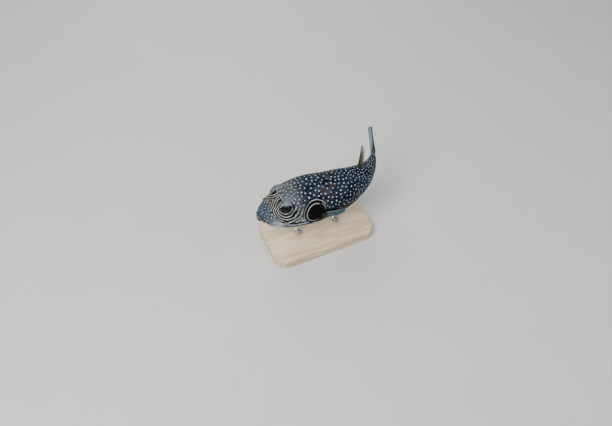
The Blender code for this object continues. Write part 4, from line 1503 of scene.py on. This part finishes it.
@dataclass
class Prickles:
    """The short spines that lie in a puffer's skin, each on its own root."""

    gap: float = 2.0
    height: float = 0.48
    width: float = 0.13
    lean: float = 0.80
    sunk: float = 0.1
    patch: float = 0.003
    stacked: float = 4.0
    bare_foot: Pair = (68.0, -7.0)
    bare_reach: float = 8.0
    starts: float = 7.0
    seed: int = 23

    def build(self, skin: Skin, material: Material) -> Piece:
        """Makes every prickle, in one piece.

        Args:
            skin: The skin that they stand in.
            material: The skin's material.

        Returns:
            The piece.
        """
        first_ring = skin.grid.mouth_rings + 6
        rings = np.arange(first_ring, skin.rows.shape[0] - skin.grid.tail_rings - 12)
        grid_ring, grid_col = np.meshgrid(rings, np.arange(skin.grid.columns), indexing="ij")
        rows = skin.rows[grid_ring, grid_col].reshape(-1, 3)
        free = (MARKS.eye_distance(rows) > 1.5) & (MARKS.brow(rows) < 0.2)
        free &= MARKS.patch_distance(rows) > 1.3
        from_foot = np.hypot(rows[:, 0] - self.bare_foot[0], rows[:, 2] - self.bare_foot[1])
        free &= (from_foot > self.bare_reach) & (rows[:, 0] > self.starts)
        ring, col, rows = grid_ring.reshape(-1)[free], grid_col.reshape(-1)[free], rows[free]
        chosen = Spots(seed=self.seed, loosest=1.0, tightest=0.85).scatter(rows, np.full(len(rows), self.gap))
        ring, col, roots = ring[chosen], col[chosen], rows[chosen]
        back = unit(skin.rows[ring + 1, col] - skin.rows[ring - 1, col])
        round_it = unit(skin.rows[ring, (col + 1) % skin.grid.columns] - skin.rows[ring, col - 1])
        out = unit(np.cross(back, round_it))
        out *= np.sign(np.sum(out * (roots * [0.0, 1.0, 1.0]), axis=-1))[:, None]
        mesh = self.spines(len(roots))
        owner, shape = self.told_apart(points_of(mesh))
        rng = np.random.default_rng(self.seed)
        tall = (self.height * rng.uniform(0.7, 1.15, len(roots)))[owner][:, None]
        lift = (shape[:, 2:] + 0.5) * tall
        points = (
            roots[owner]
            + back[owner] * (shape[:, :1] * self.width + lift * self.lean)
            + round_it[owner] * shape[:, 1:2] * self.width
            + out[owner] * (lift * math.sqrt(1 - self.lean**2) - self.sunk)
        )
        move_points(mesh, FISH.place(points))
        face_outwards(mesh)
        plain_marks(mesh, roots, owner)
        across, down = skin.flat_sizes()
        shifted = np.where(col >= skin.grid.columns // 2, col - skin.grid.columns, col)
        middle = np.stack([down[ring], 0.5 + shifted / skin.grid.columns * across[ring]], axis=-1)
        flat = middle[owner] + shape[:, :2] * self.patch / 2
        made = mesh.uv_layers.new(name="OFBake")
        made.data.foreach_set("uv", flat[corners_of(mesh)[0]].astype(np.float32).ravel())
        return add_piece("skin_prickles", mesh, material)

    def spines(self, count: int) -> Mesh:
        """Stacks upright spines above each other.

        Args:
            count: How many.

        Returns:
            One mesh with all of them, spaced by self.stacked.
        """
        bm = bmesh.new()
        bmesh.ops.create_cone(bm, cap_ends=True, segments=4, radius1=1.0, radius2=0.0, depth=1.0)
        bmesh.ops.remove_doubles(bm, verts=bm.verts, dist=1e-4)
        made = 1
        while made < count:
            copied = bmesh.ops.duplicate(bm, geom=[*bm.verts, *bm.edges, *bm.faces])["geom"]
            verts = [item for item in copied if isinstance(item, bmesh.types.BMVert)]
            bmesh.ops.translate(bm, verts=verts, vec=(0.0, 0.0, made * self.stacked))
            made *= 2
        spare = [v for v in bm.verts if v.co.z > (count - 0.5) * self.stacked]
        bmesh.ops.delete(bm, geom=spare, context="VERTS")
        return mesh_of(bm, "skin_prickles")

    def told_apart(self, points: Array) -> tuple[Array, Array]:
        """Reads each point's spine and its place on it from its height in the stack."""
        owner = np.rint(points[:, 2] / self.stacked).astype(int)
        above = np.where(points[:, 2] > owner * self.stacked, 0.5, -0.5)
        return owner, np.stack([points[:, 0], points[:, 1], above], axis=-1)


@dataclass
class Stand:
    """A flat wooden base, and two steel rods with turned collars."""

    length: float = 126.0
    width: float = 74.0
    thickness: float = 12.0
    corner: float = 16.0
    edge: float = 1.6
    rod_radius: float = 2.2
    rod_bite: float = 7.0
    rod_places: tuple[tuple[str, float], ...] = (("front", 50.0), ("rear", 98.0))
    collar_radius: float = 4.6
    collar_height: float = 3.0
    gap: float = 0.3

    def build(self) -> None:
        """Makes the base, the rods and the collars."""
        wood, steel = WoodFinish().material("maple"), SteelFinish().material("satin_steel")
        add_piece("display_base", self.base(), wood, ("stand_base",))
        for word, along in self.rod_places:
            foot = FISH.place(np.array([along, 0.0, 0.0]))
            top = AXIS_HEIGHT + float(BOTTOM.at(np.array(along))) + self.rod_bite
            add_piece(f"display_rod_{word}", self.rod(foot, top), steel, (f"stand_rod_{word}",))
            collar = self.collar(foot)
            add_piece(f"display_collar_{word}", collar, steel, (f"stand_collar_{word}",))

    def base(self) -> Mesh:
        """The slab, with round corners and softened edges."""
        bm = bmesh.new()
        sizes = Vector((self.length, self.width, self.thickness)) * MM
        bmesh.ops.create_cube(
            bm, size=1.0, matrix=Matrix.Translation((0.0, 0.0, sizes.z / 2)) @ Matrix.Diagonal((*sizes, 1.0))
        )
        uprights = [e for e in bm.edges if abs(e.verts[0].co.z - e.verts[1].co.z) > MM]
        bevel(bm, uprights, self.corner * MM, 20)
        rim = [e for e in bm.edges if abs(e.verts[0].co.z - e.verts[1].co.z) < 1e-6]
        bevel(bm, rim, self.edge * MM, 5)
        bmesh.ops.triangulate(bm, faces=[f for f in bm.faces if len(f.verts) > 4])
        mesh = mesh_of(bm, "display_base")
        mesh.set_sharp_from_angle(angle=math.radians(40.0))
        return mesh

    def turned(self, name: str, foot: Array, outline: Sequence[Pair]) -> Mesh:
        """Spins an outline round an upright axis.

        Args:
            name: The mesh's name.
            foot: A point on the axis.
            outline: Its radii and heights above the floor, in millimetres, closed.

        Returns:
            The mesh.
        """
        bm = bmesh.new()
        verts = [bm.verts.new((foot[0] + radius * MM, foot[1], height * MM)) for radius, height in outline]
        edges = [bm.edges.new((a, b)) for a, b in zip(verts, verts[1:])]
        if outline[0][0] > 0:
            edges.append(bm.edges.new((verts[-1], verts[0])))
        bmesh.ops.spin(
            bm, geom=[*verts, *edges], cent=(foot[0], foot[1], 0.0), axis=(0.0, 0.0, 1.0), angle=math.tau,
            steps=64, use_merge=True,
        )
        bmesh.ops.remove_doubles(bm, verts=bm.verts, dist=1e-6)
        bmesh.ops.recalc_face_normals(bm, faces=bm.faces)
        mesh = mesh_of(bm, name)
        mesh.set_sharp_from_angle(angle=math.radians(35.0))
        return mesh

    def rod(self, foot: Array, top: float) -> Mesh:
        """A rod from inside the base to inside the belly."""
        low, soft, radius = self.thickness - self.rod_bite, 0.3, self.rod_radius
        outline = (
            (0.0, low), (radius - soft, low), (radius, low + soft), (radius, top - soft), (radius - soft, top),
            (0.0, top),
        )
        return self.turned("display_rod", foot, outline)

    def collar(self, foot: Array) -> Mesh:
        """A turned ring with a rounded shoulder and a fine groove, round the rod's hole."""
        inner, outer, low = self.rod_radius + self.gap, self.collar_radius, self.thickness
        high = low + self.gap + self.collar_height
        outline = (
            (inner, low - 0.5), (outer, low - 0.5), (outer, low + 1.2), (outer - 0.2, low + 1.3),
            (outer - 0.2, low + 1.55), (outer, low + 1.65), (outer, high - 0.9), (outer - 0.12, high - 0.45),
            (outer - 0.45, high - 0.12), (outer - 0.9, high), (inner + 0.2, high), (inner, high - 0.2),
        )
        return self.turned("display_collar", foot, outline)


@dataclass
class Studio:
    """A pale floor, soft lights and the camera."""

    azimuth: float = math.radians(-24.20)
    elevation: float = math.radians(51.04)
    distance: float = 0.7893
    picture: tuple[int, int] = (612, 426)
    focal: float = 710.0
    fish_middle: Pair = (257.01, 216.56)

    def build(self) -> None:
        """Sets up everything round the model."""
        self.floor()
        self.camera()
        self.light("key", (-0.55, -0.30, 0.85), 0.55, 14.0, (1.0, 0.985, 0.96))
        self.light("fill", (0.75, -0.55, 0.60), 0.70, 4.0, (0.94, 0.97, 1.0))
        self.light("back", (0.10, 0.80, 0.70), 0.60, 5.0, (1.0, 1.0, 1.0))
        world = bpy.data.worlds.new("studio_air")
        world.use_nodes = True
        world.node_tree.nodes["Background"].inputs["Color"].default_value = (0.80, 0.86, 0.92, 1.0)
        world.node_tree.nodes["Background"].inputs["Strength"].default_value = 0.35
        bpy.context.scene.world = world

    def floor(self) -> None:
        """A wide, flat floor."""
        bm = bmesh.new()
        bmesh.ops.create_grid(bm, x_segments=8, y_segments=8, size=3.0)
        mesh = mesh_of(bm, "studio_floor")
        mesh.materials.append(FloorFinish().material("studio_floor"))
        put_in_scene("studio_floor", mesh)

    def light(self, name: str, place: Triple, size: float, power: float, tint: Triple) -> None:
        """Adds a square soft light that points at the fish."""
        lamp = bpy.data.lights.new(name, "AREA")
        lamp.size, lamp.energy, lamp.color = size, power, tint
        aim = Vector((0.0, 0.0, AXIS_HEIGHT * MM)) - Vector(place)
        turn = aim.to_track_quat("-Z", "Y").to_matrix().to_4x4()
        put_in_scene(name, lamp).matrix_world = Matrix.Translation(place) @ turn

    def camera(self) -> None:
        """A camera that looks down on the fish's left side from ahead of it."""
        a, e = self.azimuth, self.elevation
        look = Vector((-math.sin(a) * math.cos(e), math.cos(a) * math.cos(e), -math.sin(e)))
        right = Vector((math.cos(a), math.sin(a), 0.0))
        up = right.cross(look)
        wide, high = self.picture
        aside, above = self.fish_middle[0] - wide / 2, self.fish_middle[1] - high / 2
        ray = (look * self.focal + right * aside - up * above).normalized()
        place = Vector(FISH.place(np.array([0.0, 0.0, -2.0]))) - ray * self.distance
        lens = bpy.data.cameras.new("studio_camera")
        lens.sensor_width = 36.0
        lens.lens = self.focal * lens.sensor_width / wide
        lens.clip_start = 0.01
        camera = put_in_scene("studio_camera", lens)
        camera.matrix_world = Matrix.Translation(place) @ Matrix((right, up, -look)).transposed().to_4x4()
        bpy.context.scene.camera = camera


def main() -> None:
    """Builds the studio, the fish and its stand."""
    Studio().build()
    skin = Skin()
    hide = skin.build().data.materials[0]
    Eyes().build()
    Beak().build()
    Nostrils().build(hide)
    for plan in FINS:
        plan.build()
    Prickles().build(skin, hide)
    Stand().build()


if __name__ == "__main__":
    logging.basicConfig(level=logging.INFO, format="%(name)s %(message)s")
    main()
